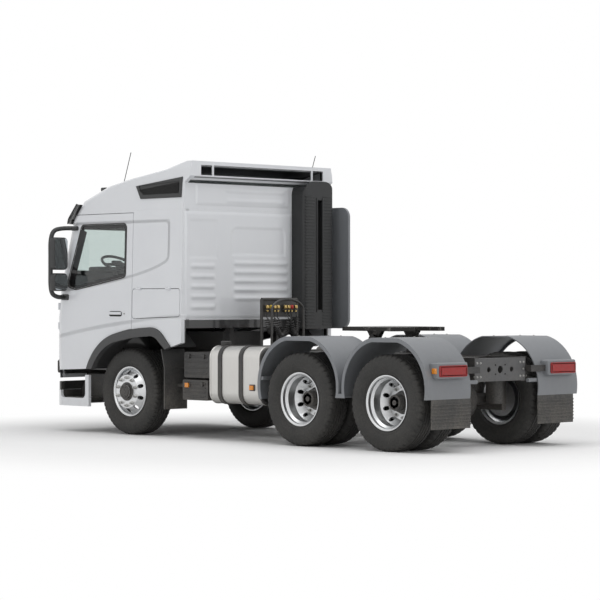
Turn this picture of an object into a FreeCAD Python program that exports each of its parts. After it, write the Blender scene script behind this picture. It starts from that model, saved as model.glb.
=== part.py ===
import FreeCAD, Part
import math
import os
from types import SimpleNamespace

import Sketcher
from FreeCAD import Placement, Rotation, Vector

# Tractor unit of a semi truck, 6x4, with a tilting sleeper cab. Millimetres.
# Frame: +X forward, +Y left, +Z up, ground at Z = 0, origin under the middle of the vehicle.
# Places along the vehicle are written as distances ahead of the front axle.

DRIVING_SIZES = {
    # Running gear
    "tyre_diameter": 1040,
    "tyre_width": 302,
    "tread_width": 262,
    "tread_drop": 26,
    "sidewall_radius": 190,
    "shoulder_radius": 260,
    "bead_diameter": 572,
    "rim_lip": 13,
    "rim_width": 240,
    "rim_wall": 10,
    "well_depth": 24,
    "bead_seat_width": 46,
    "disc_offset": 164,
    "disc_wall": 12,
    "disc_rim_offset": 62,
    "disc_flat_diameter": 400,
    "hand_hole_diameter": 50,
    "hand_hole_circle": 452,
    "hand_hole_count": 10,
    "wheelbase": 3000,
    "bogie_spacing": 1320,
    "front_track": 2020,
    "dual_spacing": 344,
    "dual_track": 1838,
    "front_overhang": 1430,
    "rear_reach": 700,
    # Clearances shared by many pieces
    "seat_gap": 0.3,
    "bush_gap": 0.1,
    "running_gap": 2,
    "panel_gap": 7,
    "overrun": 60,
    # Hubs and knuckles
    "hub_diameter": 216,
    "hub_length": 150,
    "hub_cap_diameter": 172,
    "hub_cap_reach": 46,
    "spindle_diameter": 80,
    "drum_diameter": 410,
    "drum_width": 180,
    "kingpin_inset": 90,
    "kingpin_diameter": 48,
    "axle_eye_diameter": 104,
    "axle_eye_height": 120,
    "yoke_wall": 34,
    # Front axle and springs
    "beam_width": 110,
    "beam_depth": 90,
    "beam_drop": 60,
    "beam_drop_half_width": 560,
    "beam_rise_half_width": 700,
    "spring_half_length": 830,
    "spring_width": 85,
    "spring_eye_drop": 42,
    "spring_leaf": 30,
    "spring_sag": 130,
    "spring_pack": 75,
    # Drive axles
    "axle_tube_diameter": 130,
    "banjo_diameter": 420,
    "banjo_width": 200,
    "banjo_back_diameter": 294,
    "nose_length": 300,
    "nose_diameter": 220,
    "shaft_diameter": 110,
    "air_spring_diameter": 230,
    "air_spring_offset": 390,
    "arm_height": 70,
    "arm_reach": 560,
    # Frame
    "frame_width": 850,
    "rail_height": 270,
    "rail_flange": 75,
    "rail_wall": 9,
    "rail_top": 1000,
    "rail_front": 1020,
    "rail_rear": 560,
    "member_wall": 12,
    "member_length": 120,
    "tail_hole_diameter": 84,
    "tail_side_hole_diameter": 60,
    "tail_hole_spacing": 190,
    "coupling_hole_diameter": 22,
    "coupling_spacing_y": 160,
    "coupling_spacing_z": 100,
    "tilt_bracket_height": 84,
    "tilt_pin_diameter": 40,
    "tilt_leg_wall": 30,
    "tilt_leg_length": 90,
    "cab_rest_length": 80,
    # Engine
    "engine_half_width": 330,
    "engine_front": 560,
    "engine_back": 780,
    "engine_bottom": 640,
    "engine_top": 1240,
    "gearbox_length": 900,
    "gearbox_height": 340,
    # Cab form
    "cab_width": 2490,
    "cab_back": 1060,
    "nose_bulge": 60,
    "wall": 50,
    "seam_height": 2690,
    "floor_top": 1340,
    "floor_wall": 50,
    "side_bottom": 1150,
    "firewall_front": 1275,
    "firewall_wall": 25,
    "cowl_height": 1720,
    "header_bottom": 2565,
    # Tilt, lids and doors
    "tilt_back": 130,
    "tilt_height": 960,
    "cab_front_bottom": 655,
    "lid_bottom": 1230,
    "lid_top": 1690,
    "lid_half_width": 1000,
    "lid_rounding": 60,
    "corner_rear": 1296,
    "front_rib_width": 44,
    "tilt_slot_inner": 330,
    "tilt_slot_outer": 480,
    "tilt_slot_top": 1016,
    "entry_wall_place": 690,
    "entry_wall_inner": 880,
    "grille_half_width": 700,
    "grille_bar": 34,
    "grille_slot": 46,
    "grille_margin": 60,
    "grille_slot_count": 6,
    "lamp_bottom": 720,
    "lamp_top": 900,
    "lamp_inner": 790,
    "lamp_outer": 1210,
    "lamp_proud": 6,
    "post_width": 46,
    "door_front": 1262,
    "door_foot_front": 1250,
    "door_back": 165,
    "door_bottom": 757,
    "door_shoulder": 1640,
    "door_pillar_top": 2560,
    "door_pillar_back": 1035,
    "door_top": 2660,
    "door_top_back": 960,
    "door_arch_height": 1276,
    "door_reach": 115,
    "window_front": 1060,
    "window_front_height": 1795,
    "window_low": 890,
    "window_low_height": 1755,
    "window_back": 40,
    "window_back_height": 1905,
    "window_top": 2530,
    "window_top_front": 795,
    "window_rounding": 45,
    "glass_depth": 16,
    "glass_wall": 6,
    "screen_bottom": 1745,
    "screen_half_width": 1080,
    "screen_top_half_width": 1045,
    "screen_rounding": 90,
    "hinge_diameter": 30,
    "hinge_length": 42,
    "door_hinge_front": 1262.5,
    "door_hinge_side": 1203,
    "door_hinge_low": 1260,
    "door_hinge_high": 1500,
    "lid_hinge_front": 1399,
    "lid_hinge_side": 320,
    "locker_hinge_side": 1242,
    "locker_hinge_inset": 160,
    "locker_front": 180,
    "locker_back": 1030,
    "locker_bottom_front": 1400,
    "locker_bottom_back": 1428,
    "locker_top": 1750,
    "locker_rounding": 40,
    # Front wheel arch
    "arch_foot": 673,
    "arch_foot_height": 780,
    "arch_front_radius": 740,
    "arch_knee": 125,
    "arch_knee_height": 1215,
    "arch_crest": 467,
    "arch_crest_height": 1293,
    "arch_heel": 743,
    "arch_heel_height": 1206,
    "arch_tail": 880,
    "arch_tail_height": 1070,
    "arch_crest_radius": 3000,
    "arch_heel_radius": 330,
    "arch_trim_width": 105,
    "arch_trim_proud": 18,
    "arch_liner_inner": 840,
    "arch_liner_wall": 14,
    # Roof
    "roof_ceiling": 3030,
    "slot_bottom": 3085,
    "slot_top": 3205,
    "slot_half_width": 1010,
    "slot_depth": 720,
    "strut_width": 26,
    "strut_place": 820,
    "vent_front": 193,
    "vent_slant": 100,
    "vent_back": 1025,
    "vent_bottom": 2823,
    "vent_front_top": 2980,
    "vent_top": 3065,
    "vent_frame": 46,
    "vent_proud": 8,
    "visor_bottom": 2560,
    "visor_top": 2800,
    "visor_back_top": 874,
    "visor_back_bottom": 1117,
    "visor_gap": 62,
    "visor_wall": 14,
    "visor_bracket": 60,
    "visor_bracket_spacing": 560,
    "antenna_diameter": 9,
    "antenna_front_length": 430,
    "antenna_back_length": 260,
    "antenna_front_place": 230,
    "antenna_back_place": 900,
    "antenna_side": 1040,
    "antenna_lean": 20,
    # Intake duct and side deflector
    "duct_inner": 560,
    "duct_outer": 1070,
    "duct_depth": 230,
    "duct_bottom": 1270,
    "duct_top": 3070,
    "duct_rounding": 60,
    "duct_arch_radius": 170,
    "duct_slot_width": 90,
    "duct_slot_margin": 230,
    "duct_slot_depth": 60,
    "deflector_depth": 360,
    "deflector_wall": 34,
    "deflector_bottom": 1270,
    "deflector_top": 2760,
    "deflector_rounding": 120,
    # Cab inside
    "dash_back": 900,
    "dash_top": 1985,
    "dash_half_width": 1120,
    "dash_knee": 1120,
    "dash_bottom": 1500,
    "dash_slope": 98,
    "dash_side_gap": 33,
    "wheel_side": 620,
    "wheel_place": 800,
    "wheel_height": 2060,
    "wheel_ring_radius": 225,
    "wheel_ring_tube": 17,
    "wheel_lean": 28,
    "column_diameter": 70,
    "column_length": 300,
    "seat_inner": 370,
    "seat_outer": 880,
    "seat_front": 620,
    "seat_back": 60,
    "seat_base": 1690,
    "seat_pad": 150,
    "seat_rest_wall": 150,
    "seat_rest_top": 2540,
    "seat_rest_lean": 110,
    "seat_foot_half": 170,
    "bunk_front": 330,
    "bunk_half_width": 1120,
    "bunk_bottom": 1640,
    "bunk_pad": 170,
    "bunk_board": 25,
    # Mirrors
    "mirror_reach": 250,
    "mirror_head_width": 230,
    "mirror_head_depth": 110,
    "mirror_back": 1120,
    "mirror_main_bottom": 1990,
    "mirror_main_top": 2390,
    "mirror_low_bottom": 1730,
    "mirror_low_top": 1950,
    "mirror_arm_diameter": 56,
    "mirror_arm_top": 2490,
    "mirror_arm_bottom": 1690,
    "mirror_foot": 1010,
    "mirror_low_foot": 1150,
    "mirror_rounding": 50,
    # Bumper and steps
    "bumper_bottom": 320,
    "bumper_top": 510,
    "band_top": 612,
    "bumper_wall": 40,
    "bumper_foot_rounding": 60,
    "step_front": 1190,
    "step_rear": 640,
    "step_post": 66,
    "step_floor": 420,
    "step_top": 706,
    "step_inner": 900,
    "step_wall": 20,
    "step_slant": 150,
    "bumper_beam_width": 110,
    "valance_height": 26,
    # Left tank and right boxes
    "tank_front": 1490,
    "tank_back": 2330,
    "tank_inner": 560,
    "tank_outer": 1185,
    "tank_bottom": 427,
    "tank_top": 1087,
    "tank_rounding": 130,
    "strap_width": 60,
    "strap_wall": 10,
    "strap_place_one": 1640,
    "strap_place_two": 1990,
    "strap_bracket_height": 90,
    "exhaust_front": 1480,
    "exhaust_back": 2300,
    "exhaust_bottom": 440,
    "exhaust_top": 1060,
    "exhaust_rounding": 60,
    "side_box_front": 960,
    "side_box_back": 1400,
    "side_box_outer": 1130,
    "side_box_bottom": 450,
    "side_box_split": 700,
    "side_box_top": 1010,
    "side_box_gap": 24,
    "side_box_rounding": 24,
    # Flaps and fenders
    "front_flap_place": 720,
    "front_flap_wall": 16,
    "front_flap_inner": 860,
    "front_flap_outer": 1215,
    "front_flap_bottom": 330,
    "front_flap_top": 1040,
    "front_flap_bend": 110,
    "fender_reach": 620,
    "fender_foot": 505,
    "fender_top": 1215,
    "fender_wall": 12,
    "fender_inner": 565,
    "fender_outer": 1245,
    "fender_flat_half": 190,
    "fender_valley": 600,
    "fender_valley_half": 26,
    "fender_arc_radius": 560,
    "fender_foot_rear": 570,
    "fender_lip": 46,
    "fender_stay_height": 740,
    "fender_stay_diameter": 44,
    "flap_inner": 560,
    "flap_outer": 1180,
    "flap_bottom": 255,
    "flap_wall": 8,
    "flap_rib_pitch": 36,
    "flap_rib_margin": 30,
    "lamp_box_inner": 700,
    "lamp_box_width": 430,
    "lamp_box_bottom": 810,
    "lamp_box_height": 120,
    "lamp_box_depth": 60,
    "lamp_box_rounding": 18,
    "lamp_bar_height": 50,
    "lamp_foot_length": 140,
    "marker_width": 60,
    "marker_height": 50,
    "marker_depth": 24,
    # Deck, hose stand and fifth wheel
    "deck_front": 1230,
    "deck_back": 2420,
    "deck_wall": 8,
    "deck_half_width": 420,
    "stand_place": 1420,
    "stand_half_width": 290,
    "stand_height": 690,
    "stand_tube": 38,
    "stand_base": 70,
    "fifth_place": 3300,
    "fifth_pivot_height": 1205,
    "fifth_plate_top": 1318,
    "fifth_plate_wall": 46,
    "fifth_half_width": 450,
    "fifth_front_reach": 470,
    "fifth_rear_reach": 500,
    "fifth_throat_half": 190,
    "fifth_jaw_diameter": 150,
    "fifth_jaw_drop": 8,
    "fifth_bore_diameter": 51.2,
    "fifth_rounding": 150,
    "fifth_ear_inner": 330,
    "fifth_ear_wall": 60,
    "fifth_ear_length": 220,
    "fifth_pin_diameter": 60,
    "fifth_base_wall": 16,
    "fifth_base_length": 640,
    "fifth_cheek_wall": 34,
    "fifth_cheek_length": 260,
}

# Level stations of the cab, from the skirt to the roof's peak: its height, how far its front lies behind the
# nose, how far its sides lie inside the cab's width, its corner radius, and how far its back stands out.
CAB_STATIONS = {
    "skirt": {"height": 650, "setback": 14, "inset": 4, "corner": 240},
    "nose": {"height": 900, "corner": 240},
    "chest": {"height": 1400, "corner": 240},
    "belt": {"height": 1730, "setback": 35, "inset": 6, "corner": 240},
    "screen": {"height": 2165, "setback": 140, "inset": 18, "corner": 240},
    "header": {"height": 2600, "setback": 250, "inset": 30, "corner": 250},
    "brow": {"height": 2830, "setback": 420, "inset": 42, "corner": 280},
    "forehead": {"height": 3000, "setback": 850, "inset": 56, "corner": 320},
    "dome": {"height": 3075, "setback": 1230, "inset": 66, "corner": 330, "overhang": 90},
    "crest": {"height": 3160, "setback": 1880, "inset": 76, "corner": 260, "overhang": 90},
    "peak": {"height": 3250, "setback": 2370, "inset": 96, "corner": 80, "overhang": 90},
}

# Shares of a growth that each station takes forward and upward, because the surface leans there
STATION_SHARES = {
    "skirt": (1, 1),
    "nose": (1, 0),
    "chest": (1, 0),
    "belt": (1, 0),
    "screen": (1, 0.1),
    "header": (1, 0.3),
    "brow": (0.8, 0.6),
    "forehead": (0.3, 0.9),
    "dome": (0.2, 1),
    "crest": (0.2, 1),
    "peak": (0.2, 1),
}

doc = FreeCAD.newDocument("TractorUnit")
sheet = doc.addObject("Spreadsheet::Sheet", "Sizes")


class Dim:
    """A length of the model: its number, and the formula that ties it to the sheet."""

    def __init__(self, number, formula):
        self.number = number
        self.formula = formula

    def __add__(self, other):
        other = as_dim(other)
        return Dim(self.number + other.number, f"({self.formula} + {other.formula})")

    def __sub__(self, other):
        other = as_dim(other)
        return Dim(self.number - other.number, f"({self.formula} - {other.formula})")

    def __mul__(self, other):
        other = as_dim(other)
        return Dim(self.number * other.number, f"({self.formula} * {other.formula})")

    def __truediv__(self, other):
        other = as_dim(other)
        return Dim(self.number / other.number, f"({self.formula} / {other.formula})")

    def __neg__(self):
        return Dim(-self.number, f"(-{self.formula})")

    def __rsub__(self, other):
        return as_dim(other) - self

    __radd__ = __add__
    __rmul__ = __mul__


def as_dim(value):
    """A plain number as a Dim."""
    if isinstance(value, Dim):
        return value
    return Dim(float(value), f"({value})")


def fill_sheet():
    """Every driving size becomes a named cell of the sheet."""
    sizes = dict(DRIVING_SIZES)
    for station, parts in CAB_STATIONS.items():
        for part, number in parts.items():
            sizes[f"{station}_{part}"] = number
    for row, (alias, number) in enumerate(sizes.items(), 1):
        sheet.set(f"A{row}", alias)
        sheet.set(f"B{row}", str(number))
        sheet.setAlias(f"B{row}", alias)
    doc.recompute()
    return SimpleNamespace(**{alias: Dim(number, f"Sizes.{alias}") for alias, number in sizes.items()})


size = fill_sheet()
NONE = as_dim(0)

vehicle_length = size.front_overhang + size.wheelbase + size.bogie_spacing + size.rear_reach
front_axle_x = vehicle_length / 2 - size.front_overhang
wheel_z = size.tyre_diameter / 2
half_cab = size.cab_width / 2
rail_bottom = size.rail_top - size.rail_height
rail_outer = size.frame_width / 2
rail_inner = rail_outer - size.rail_flange
kingpin_y = size.front_track / 2 - size.kingpin_inset
dual_y = size.dual_track / 2
axle_places = [-size.wheelbase, -size.wheelbase - size.bogie_spacing]


def fore(distance):
    """A place that lies this distance ahead of the front axle."""
    return front_axle_x + distance


# Helpers that make features of the document


def bind(feature, prop, value):
    """Ties one property to its formula."""
    feature.setExpression(prop, as_dim(value).formula)


def move(feature, x, y, z):
    """Puts a feature at a place, each coordinate tied to the sheet."""
    for axis, value in zip("xyz", (x, y, z)):
        bind(feature, f"Placement.Base.{axis}", value)


def origin_feature(body, role):
    """One of the body's own origin planes or axes."""
    return next(item for item in body.Origin.OriginFeatures if item.Role == role)


def arc(radius):
    """Marks the edge from the point before it to the point after it as an arc, positive when it bulges out."""
    return ("arc", as_dim(radius))


def read_outline(points):
    """Splits an outline into corners, each with its rounding, and the edges that leave them."""
    corners = []
    bows = []
    for item in points:
        if item[0] == "arc":
            bows[-1] = item[1]
            continue
        values = [as_dim(value) for value in item]
        corners.append((values[0], values[1], values[2] if len(values) == 3 else None))
        bows.append(None)
    return corners, bows


def rounded_ends(before, corner, after, radius):
    """The two tangent points and the centre of a rounded corner."""
    to_before = (before - corner).normalize()
    to_after = (after - corner).normalize()
    half_angle = to_before.getAngle(to_after) / 2
    reach = radius / math.tan(half_angle)
    middle = (to_before + to_after).normalize() * (radius / math.sin(half_angle))
    return corner + to_before * reach, corner + to_after * reach, corner + middle


def arc_between(start, end, centre, radius, counter_clockwise):
    """A circular arc from start to end about a centre."""
    first, last = (start, end) if counter_clockwise else (end, start)
    first_angle = math.atan2(first.y - centre.y, first.x - centre.x)
    last_angle = math.atan2(last.y - centre.y, last.x - centre.x)
    if last_angle < first_angle:
        last_angle += 2 * math.pi
    return Part.ArcOfCircle(Part.Circle(centre, Vector(0, 0, 1), radius), first_angle, last_angle)


def bow_centre(start, end, radius):
    """The centre of an arc through two points, on the left of the way when the radius is positive."""
    half = (end - start) / 2
    depth = math.sqrt(max(radius * radius - half.Length ** 2, 0))
    left = Vector(-half.y, half.x, 0).normalize()
    return start + half + left * (depth if radius > 0 else -depth)


def draw_outline(body, name, plane, points, offset):
    """A closed sketch on one of the body's planes, fixed point by point to the sheet's sizes."""
    sketch = body.newObject("Sketcher::SketchObject", name)
    sketch.AttachmentSupport = (origin_feature(body, f"{plane}_Plane"), [""])
    sketch.MapMode = "FlatFace"
    bind(sketch, "AttachmentOffset.Base.z", offset)
    corners, bows = read_outline(points)
    count = len(corners)
    places = [Vector(u.number, v.number, 0) for u, v, _ in corners]
    ins = list(places)
    outs = list(places)
    centres = [None] * count
    for index, (_, _, rounding) in enumerate(corners):
        if rounding is not None:
            before, after = places[index - 1], places[(index + 1) % count]
            ins[index], outs[index], centres[index] = rounded_ends(before, places[index], after, rounding.number)
    geometry = []
    ends = []
    for index in range(count):
        start, end, bow = outs[index], ins[(index + 1) % count], bows[index]
        if bow is None:
            geometry.append(Part.LineSegment(start, end))
            ends.append((1, 2))
        else:
            centre = bow_centre(start, end, bow.number)
            geometry.append(arc_between(start, end, centre, abs(bow.number), bow.number > 0))
            ends.append((1, 2) if bow.number > 0 else (2, 1))
    roundings = {}
    for index, centre in enumerate(centres):
        if centre is not None:
            radius = corners[index][2].number
            turn = (places[index] - places[index - 1]).cross(places[(index + 1) % count] - places[index]).z
            roundings[index] = (len(geometry), turn > 0)
            geometry.append(arc_between(ins[index], outs[index], centre, radius, turn > 0))
    first_point = len(geometry)
    points_of = {}
    for index in roundings:
        points_of[index] = first_point + len(points_of)
        geometry.append(Part.Point(places[index]))
    flags = [False] * first_point + [True] * len(points_of)
    for item, construction in zip(geometry, flags):
        sketch.addGeometry(item, construction)
    fix_outline(sketch, corners, bows, ends, roundings, points_of)
    return sketch


def fix_point(sketch, geometry, end, corner):
    """Holds one point of a sketch at its two distances from the origin."""
    for kind, value in (("DistanceX", corner[0]), ("DistanceY", corner[1])):
        index = sketch.addConstraint(Sketcher.Constraint(kind, -1, 1, geometry, end, value.number))
        sketch.setExpression(f"Constraints[{index}]", value.formula)


def fix_radius(sketch, geometry, radius):
    """Holds an arc's radius."""
    value = radius if radius.number > 0 else -radius
    index = sketch.addConstraint(Sketcher.Constraint("Radius", geometry, value.number))
    sketch.setExpression(f"Constraints[{index}]", value.formula)


def fix_outline(sketch, corners, bows, ends, roundings, points_of):
    """Joins the edges of an outline and ties its corners and radii to the sheet."""
    count = len(corners)
    for index, corner in enumerate(corners):
        before = (index - 1) % count
        if index not in roundings:
            sketch.addConstraint(Sketcher.Constraint("Coincident", before, ends[before][1], index, ends[index][0]))
            fix_point(sketch, index, ends[index][0], corner)
            continue
        number, counter_clockwise = roundings[index]
        first, last = (1, 2) if counter_clockwise else (2, 1)
        sketch.addConstraint(Sketcher.Constraint("Tangent", before, ends[before][1], number, first))
        sketch.addConstraint(Sketcher.Constraint("Tangent", number, last, index, ends[index][0]))
        fix_radius(sketch, number, corner[2])
        fix_point(sketch, points_of[index], 1, corner)
        sketch.addConstraint(Sketcher.Constraint("PointOnObject", points_of[index], 1, before))
        sketch.addConstraint(Sketcher.Constraint("PointOnObject", points_of[index], 1, index))
    for index, bow in enumerate(bows):
        if bow is not None:
            fix_radius(sketch, index, bow)


def prism(name, plane, points, low, high):
    """A padded outline between two distances along the axis that the plane's name leaves out."""
    body = doc.addObject("PartDesign::Body", name)
    offset = -as_dim(high) if plane == "XZ" else low
    pad = body.newObject("PartDesign::Pad", f"{name}_pad")
    pad.Profile = draw_outline(body, f"{name}_outline", plane, points, offset)
    bind(pad, "Length", as_dim(high) - low)
    return body


def turned(name, plane, axis, points, x, y, z):
    """An outline turned about one of its plane's axes, then put in place."""
    body = doc.addObject("PartDesign::Body", name)
    turn = body.newObject("PartDesign::Revolution", f"{name}_turn")
    turn.Profile = draw_outline(body, f"{name}_outline", plane, points, NONE)
    turn.ReferenceAxis = (origin_feature(body, f"{axis}_Axis"), [""])
    turn.Angle = 360
    move(body, x, y, z)
    return body


def block(name, x_range, y_range, z_range):
    """A box between two values on each axis."""
    box = doc.addObject("Part::Box", name)
    for prop, (low, high) in zip(("Length", "Width", "Height"), (x_range, y_range, z_range)):
        bind(box, prop, as_dim(high) - low)
    move(box, x_range[0], y_range[0], z_range[0])
    return box


ROD_TURNS = {
    "X": Rotation(Vector(0, 1, 0), 90),
    "Y": Rotation(Vector(1, 0, 0), -90),
    "Z": Rotation(),
}


def rod(name, axis, radius, low, high, first, second):
    """A round bar along one axis; first and second are its place on the two other axes, in their order."""
    bar = doc.addObject("Part::Cylinder", name)
    bar.Placement = Placement(Vector(0, 0, 0), ROD_TURNS[axis])
    bind(bar, "Radius", radius)
    bind(bar, "Height", as_dim(high) - low)
    place = {"X": (low, first, second), "Y": (first, low, second), "Z": (first, second, low)}[axis]
    move(bar, *place)
    return bar


def joined(name, pieces):
    """Several touching solids as one."""
    fuse = doc.addObject("Part::MultiFuse", name)
    fuse.Shapes = list(pieces)
    fuse.Refine = True
    return fuse


def grouped(name, pieces):
    """Several solids that don't touch, in one node."""
    group = doc.addObject("Part::Compound", name)
    group.Links = list(pieces)
    return group


def cut(name, base, tools):
    """One solid less others."""
    result = doc.addObject("Part::Cut", name)
    result.Base = base
    result.Tool = tools[0] if len(tools) == 1 else joined(f"{name}_tools", tools)
    result.Refine = True
    return result


def common(name, first, second):
    """What two solids share."""
    result = doc.addObject("Part::Common", name)
    result.Base = first
    result.Tool = second
    result.Refine = True
    return result


def mirrored(name, source):
    """The same solid on the other side of the vehicle."""
    twin = doc.addObject("Part::Mirroring", name)
    twin.Source = source
    twin.Normal = Vector(0, 1, 0)
    return twin


def both_sides(name, source):
    """A solid and its twin on the other side, as one node."""
    return grouped(name, [source, mirrored(f"{name}_twin", source)])


nodes = {}


def keep(name, feature):
    """Marks a feature as a sub-part of the vehicle, with its name as its label."""
    feature.Label = name
    nodes[name] = feature
    return feature


# Wheels: steel discs on 22.5 inch rims, single in front and twin behind


def tyre(name, x, y):
    """A tyre's closed ring about its own middle."""
    half = size.tyre_width / 2
    tread = size.tread_width / 2
    outer = size.tyre_diameter / 2
    inner = size.bead_diameter / 2 + size.seat_gap
    bead = size.rim_width / 2 - size.rim_lip - size.seat_gap
    lip = inner + size.rim_lip
    waist = (inner + outer) / 2
    points = [
        (-bead, inner), (bead, inner), (bead, lip), arc(size.sidewall_radius), (half, waist),
        arc(size.shoulder_radius), (tread, outer - size.tread_drop), (tread - size.tread_drop, outer),
        (size.tread_drop - tread, outer), (-tread, outer - size.tread_drop), arc(size.shoulder_radius),
        (-half, waist), arc(size.sidewall_radius), (-bead, lip),
    ]
    return turned(name, "YZ", "Y", points, x, y, wheel_z)


def rim(name, side, x, y):
    """A rim with its dished disc, the disc towards the side that is given."""
    half = size.rim_width / 2
    seat = size.bead_diameter / 2
    lip = seat + size.rim_lip
    wall = size.rim_wall
    well = seat - size.well_depth
    flat = half - size.bead_seat_width
    outer_half = [
        (half, lip - wall), (half, lip), (half - wall, lip), (half - size.rim_lip, seat), (flat, seat),
        (flat - size.well_depth, well),
    ]
    inner_half = [
        (flat - size.well_depth, well - wall), (flat, seat - wall), (half - wall, seat - wall),
    ]
    points = [(-u, v) for u, v in inner_half[::-1]]
    points = outer_half + [(-u, v) for u, v in outer_half[::-1]] + points + inner_half
    barrel = turned(f"{name}_barrel", "YZ", "Y", points, x, y, wheel_z)
    face = size.disc_offset
    thick = size.disc_wall
    flat_radius = size.disc_flat_diameter / 2
    hub = size.hub_diameter / 2 - thick
    edge = size.disc_rim_offset
    disc_points = [
        (face - thick, hub), (face, hub), (face, flat_radius), (edge + thick, seat - wall / 2),
        (edge - thick, seat - wall / 2), (face - thick - thick / 2, flat_radius - thick / 2),
    ]
    if side < 0:
        disc_points = [(-u, v) for u, v in disc_points[::-1]]
    disc = turned(f"{name}_disc", "YZ", "Y", disc_points, x, y, wheel_z)
    return joined(f"{name}_wheel", [barrel, cut(f"{name}_pierced", disc, hand_holes(name, side, x, y))])


# Share of a pitch by which the first hand hole is turned from level
HOLE_TURN_SHARE = 0.5


def hand_holes(name, side, x, y):
    """The ring of round holes near the rim's edge, as tools."""
    holes = []
    low, high = (size.disc_rim_offset - size.overrun, size.disc_offset + size.overrun)
    if side < 0:
        low, high = -high, -low
    circle = size.hand_hole_circle / 2
    count = int(size.hand_hole_count.number)
    for index in range(count):
        angle = 2 * math.pi * (index + HOLE_TURN_SHARE) / count
        holes.append(rod(f"{name}_hand_hole_{index}", "Y", size.hand_hole_diameter / 2, y + low, y + high,
                         x + circle * math.cos(angle), wheel_z + circle * math.sin(angle)))
    return holes


def front_wheel(label, side):
    """A steered wheel: its tyre, and its rim with hub and cap."""
    x, y = fore(NONE), size.front_track / 2 * side
    keep(f"front_tyre_{label}", tyre(f"front_tyre_{label}", x, y))
    back = size.disc_offset - size.hub_length
    bore = size.spindle_diameter / 2 + size.seat_gap
    cap = size.hub_cap_diameter / 2
    front = size.disc_offset
    hub_points = [
        (back, bore), (front, bore), (front, 0), (front + size.hub_cap_reach, 0),
        (front + size.hub_cap_reach, cap - size.disc_wall), (front + size.hub_cap_reach - size.disc_wall, cap),
        (front, cap), (front, size.hub_diameter / 2), (back, size.hub_diameter / 2),
    ]
    if side < 0:
        hub_points = [(-as_dim(u), v) for u, v in hub_points[::-1]]
    hub = turned(f"front_hub_{label}", "YZ", "Y", hub_points, x, y, wheel_z)
    keep(f"front_rim_{label}", joined(f"front_rim_{label}", [rim(f"front_rim_{label}", side, x, y), hub]))


def twin_wheel(axle, label, side):
    """A pair of driven wheels bolted back to back on one hub with its brake drum."""
    x, y = fore(axle_places[axle - 1]), dual_y * side
    name = f"drive_{axle}_{label}"
    step = size.dual_spacing / 2 * side
    tyres = [tyre(f"{name}_tyre_out", x, y + step), tyre(f"{name}_tyre_in", x, y - step)]
    keep(f"drive_tyres_{axle}_{label}", grouped(f"{name}_tyres", tyres))
    rims = [rim(f"{name}_out", -side, x, y + step), rim(f"{name}_in", side, x, y - step)]
    cap = size.hub_cap_diameter / 2
    hub = size.hub_diameter / 2
    half = size.hub_length / 2
    bore = size.spindle_diameter / 2 + size.seat_gap
    drum = size.drum_diameter / 2
    drum_back = -half - size.drum_width
    reach = half + size.hub_cap_reach
    points = [
        (drum_back, bore), (half, bore), (half, 0), (reach + size.hub_cap_reach, 0),
        (reach + size.hub_cap_reach, cap - size.disc_wall), (reach, cap), (half, cap), (half, hub), (-half, hub),
        (-half, drum), (drum_back, drum),
    ]
    if side < 0:
        points = [(-as_dim(u), v) for u, v in points[::-1]]
    rims.append(turned(f"{name}_hub", "YZ", "Y", points, x, y, wheel_z))
    keep(f"drive_rims_{axle}_{label}", joined(f"{name}_rims", rims))


def knuckle(label, side):
    """A forged steering knuckle: a yoke round the axle's eye, its kingpin and the wheel's spindle."""
    x, y = fore(NONE), kingpin_y * side
    half_eye = size.axle_eye_height / 2
    wall = size.yoke_wall
    eye = size.axle_eye_diameter / 2
    clear = size.panel_gap
    top = half_eye + clear + wall
    web = eye + clear + wall
    y_out = [(-eye, -top), (web, -top), (web, top), (-eye, top), (-eye, top - wall), (web - wall, top - wall),
             (web - wall, wall - top), (-eye, wall - top)]
    if side < 0:
        y_out = [(-u, v) for u, v in y_out[::-1]]
    yoke = prism(f"knuckle_{label}_yoke", "YZ", [(y + u, wheel_z + v) for u, v in y_out], x - eye, x + eye)
    pin = rod(f"knuckle_{label}_pin", "Z", size.kingpin_diameter / 2, wheel_z - top, wheel_z + top, x, y)
    tip = size.kingpin_inset + size.disc_offset - size.running_gap
    low, high = (web - wall, tip) if side > 0 else (-tip, wall - web)
    spindle = rod(f"knuckle_{label}_spindle", "Y", size.spindle_diameter / 2, y + low, y + high, x, wheel_z)
    keep(f"knuckle_{label}", joined(f"knuckle_{label}", [yoke, pin, spindle]))


# Chassis


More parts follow.
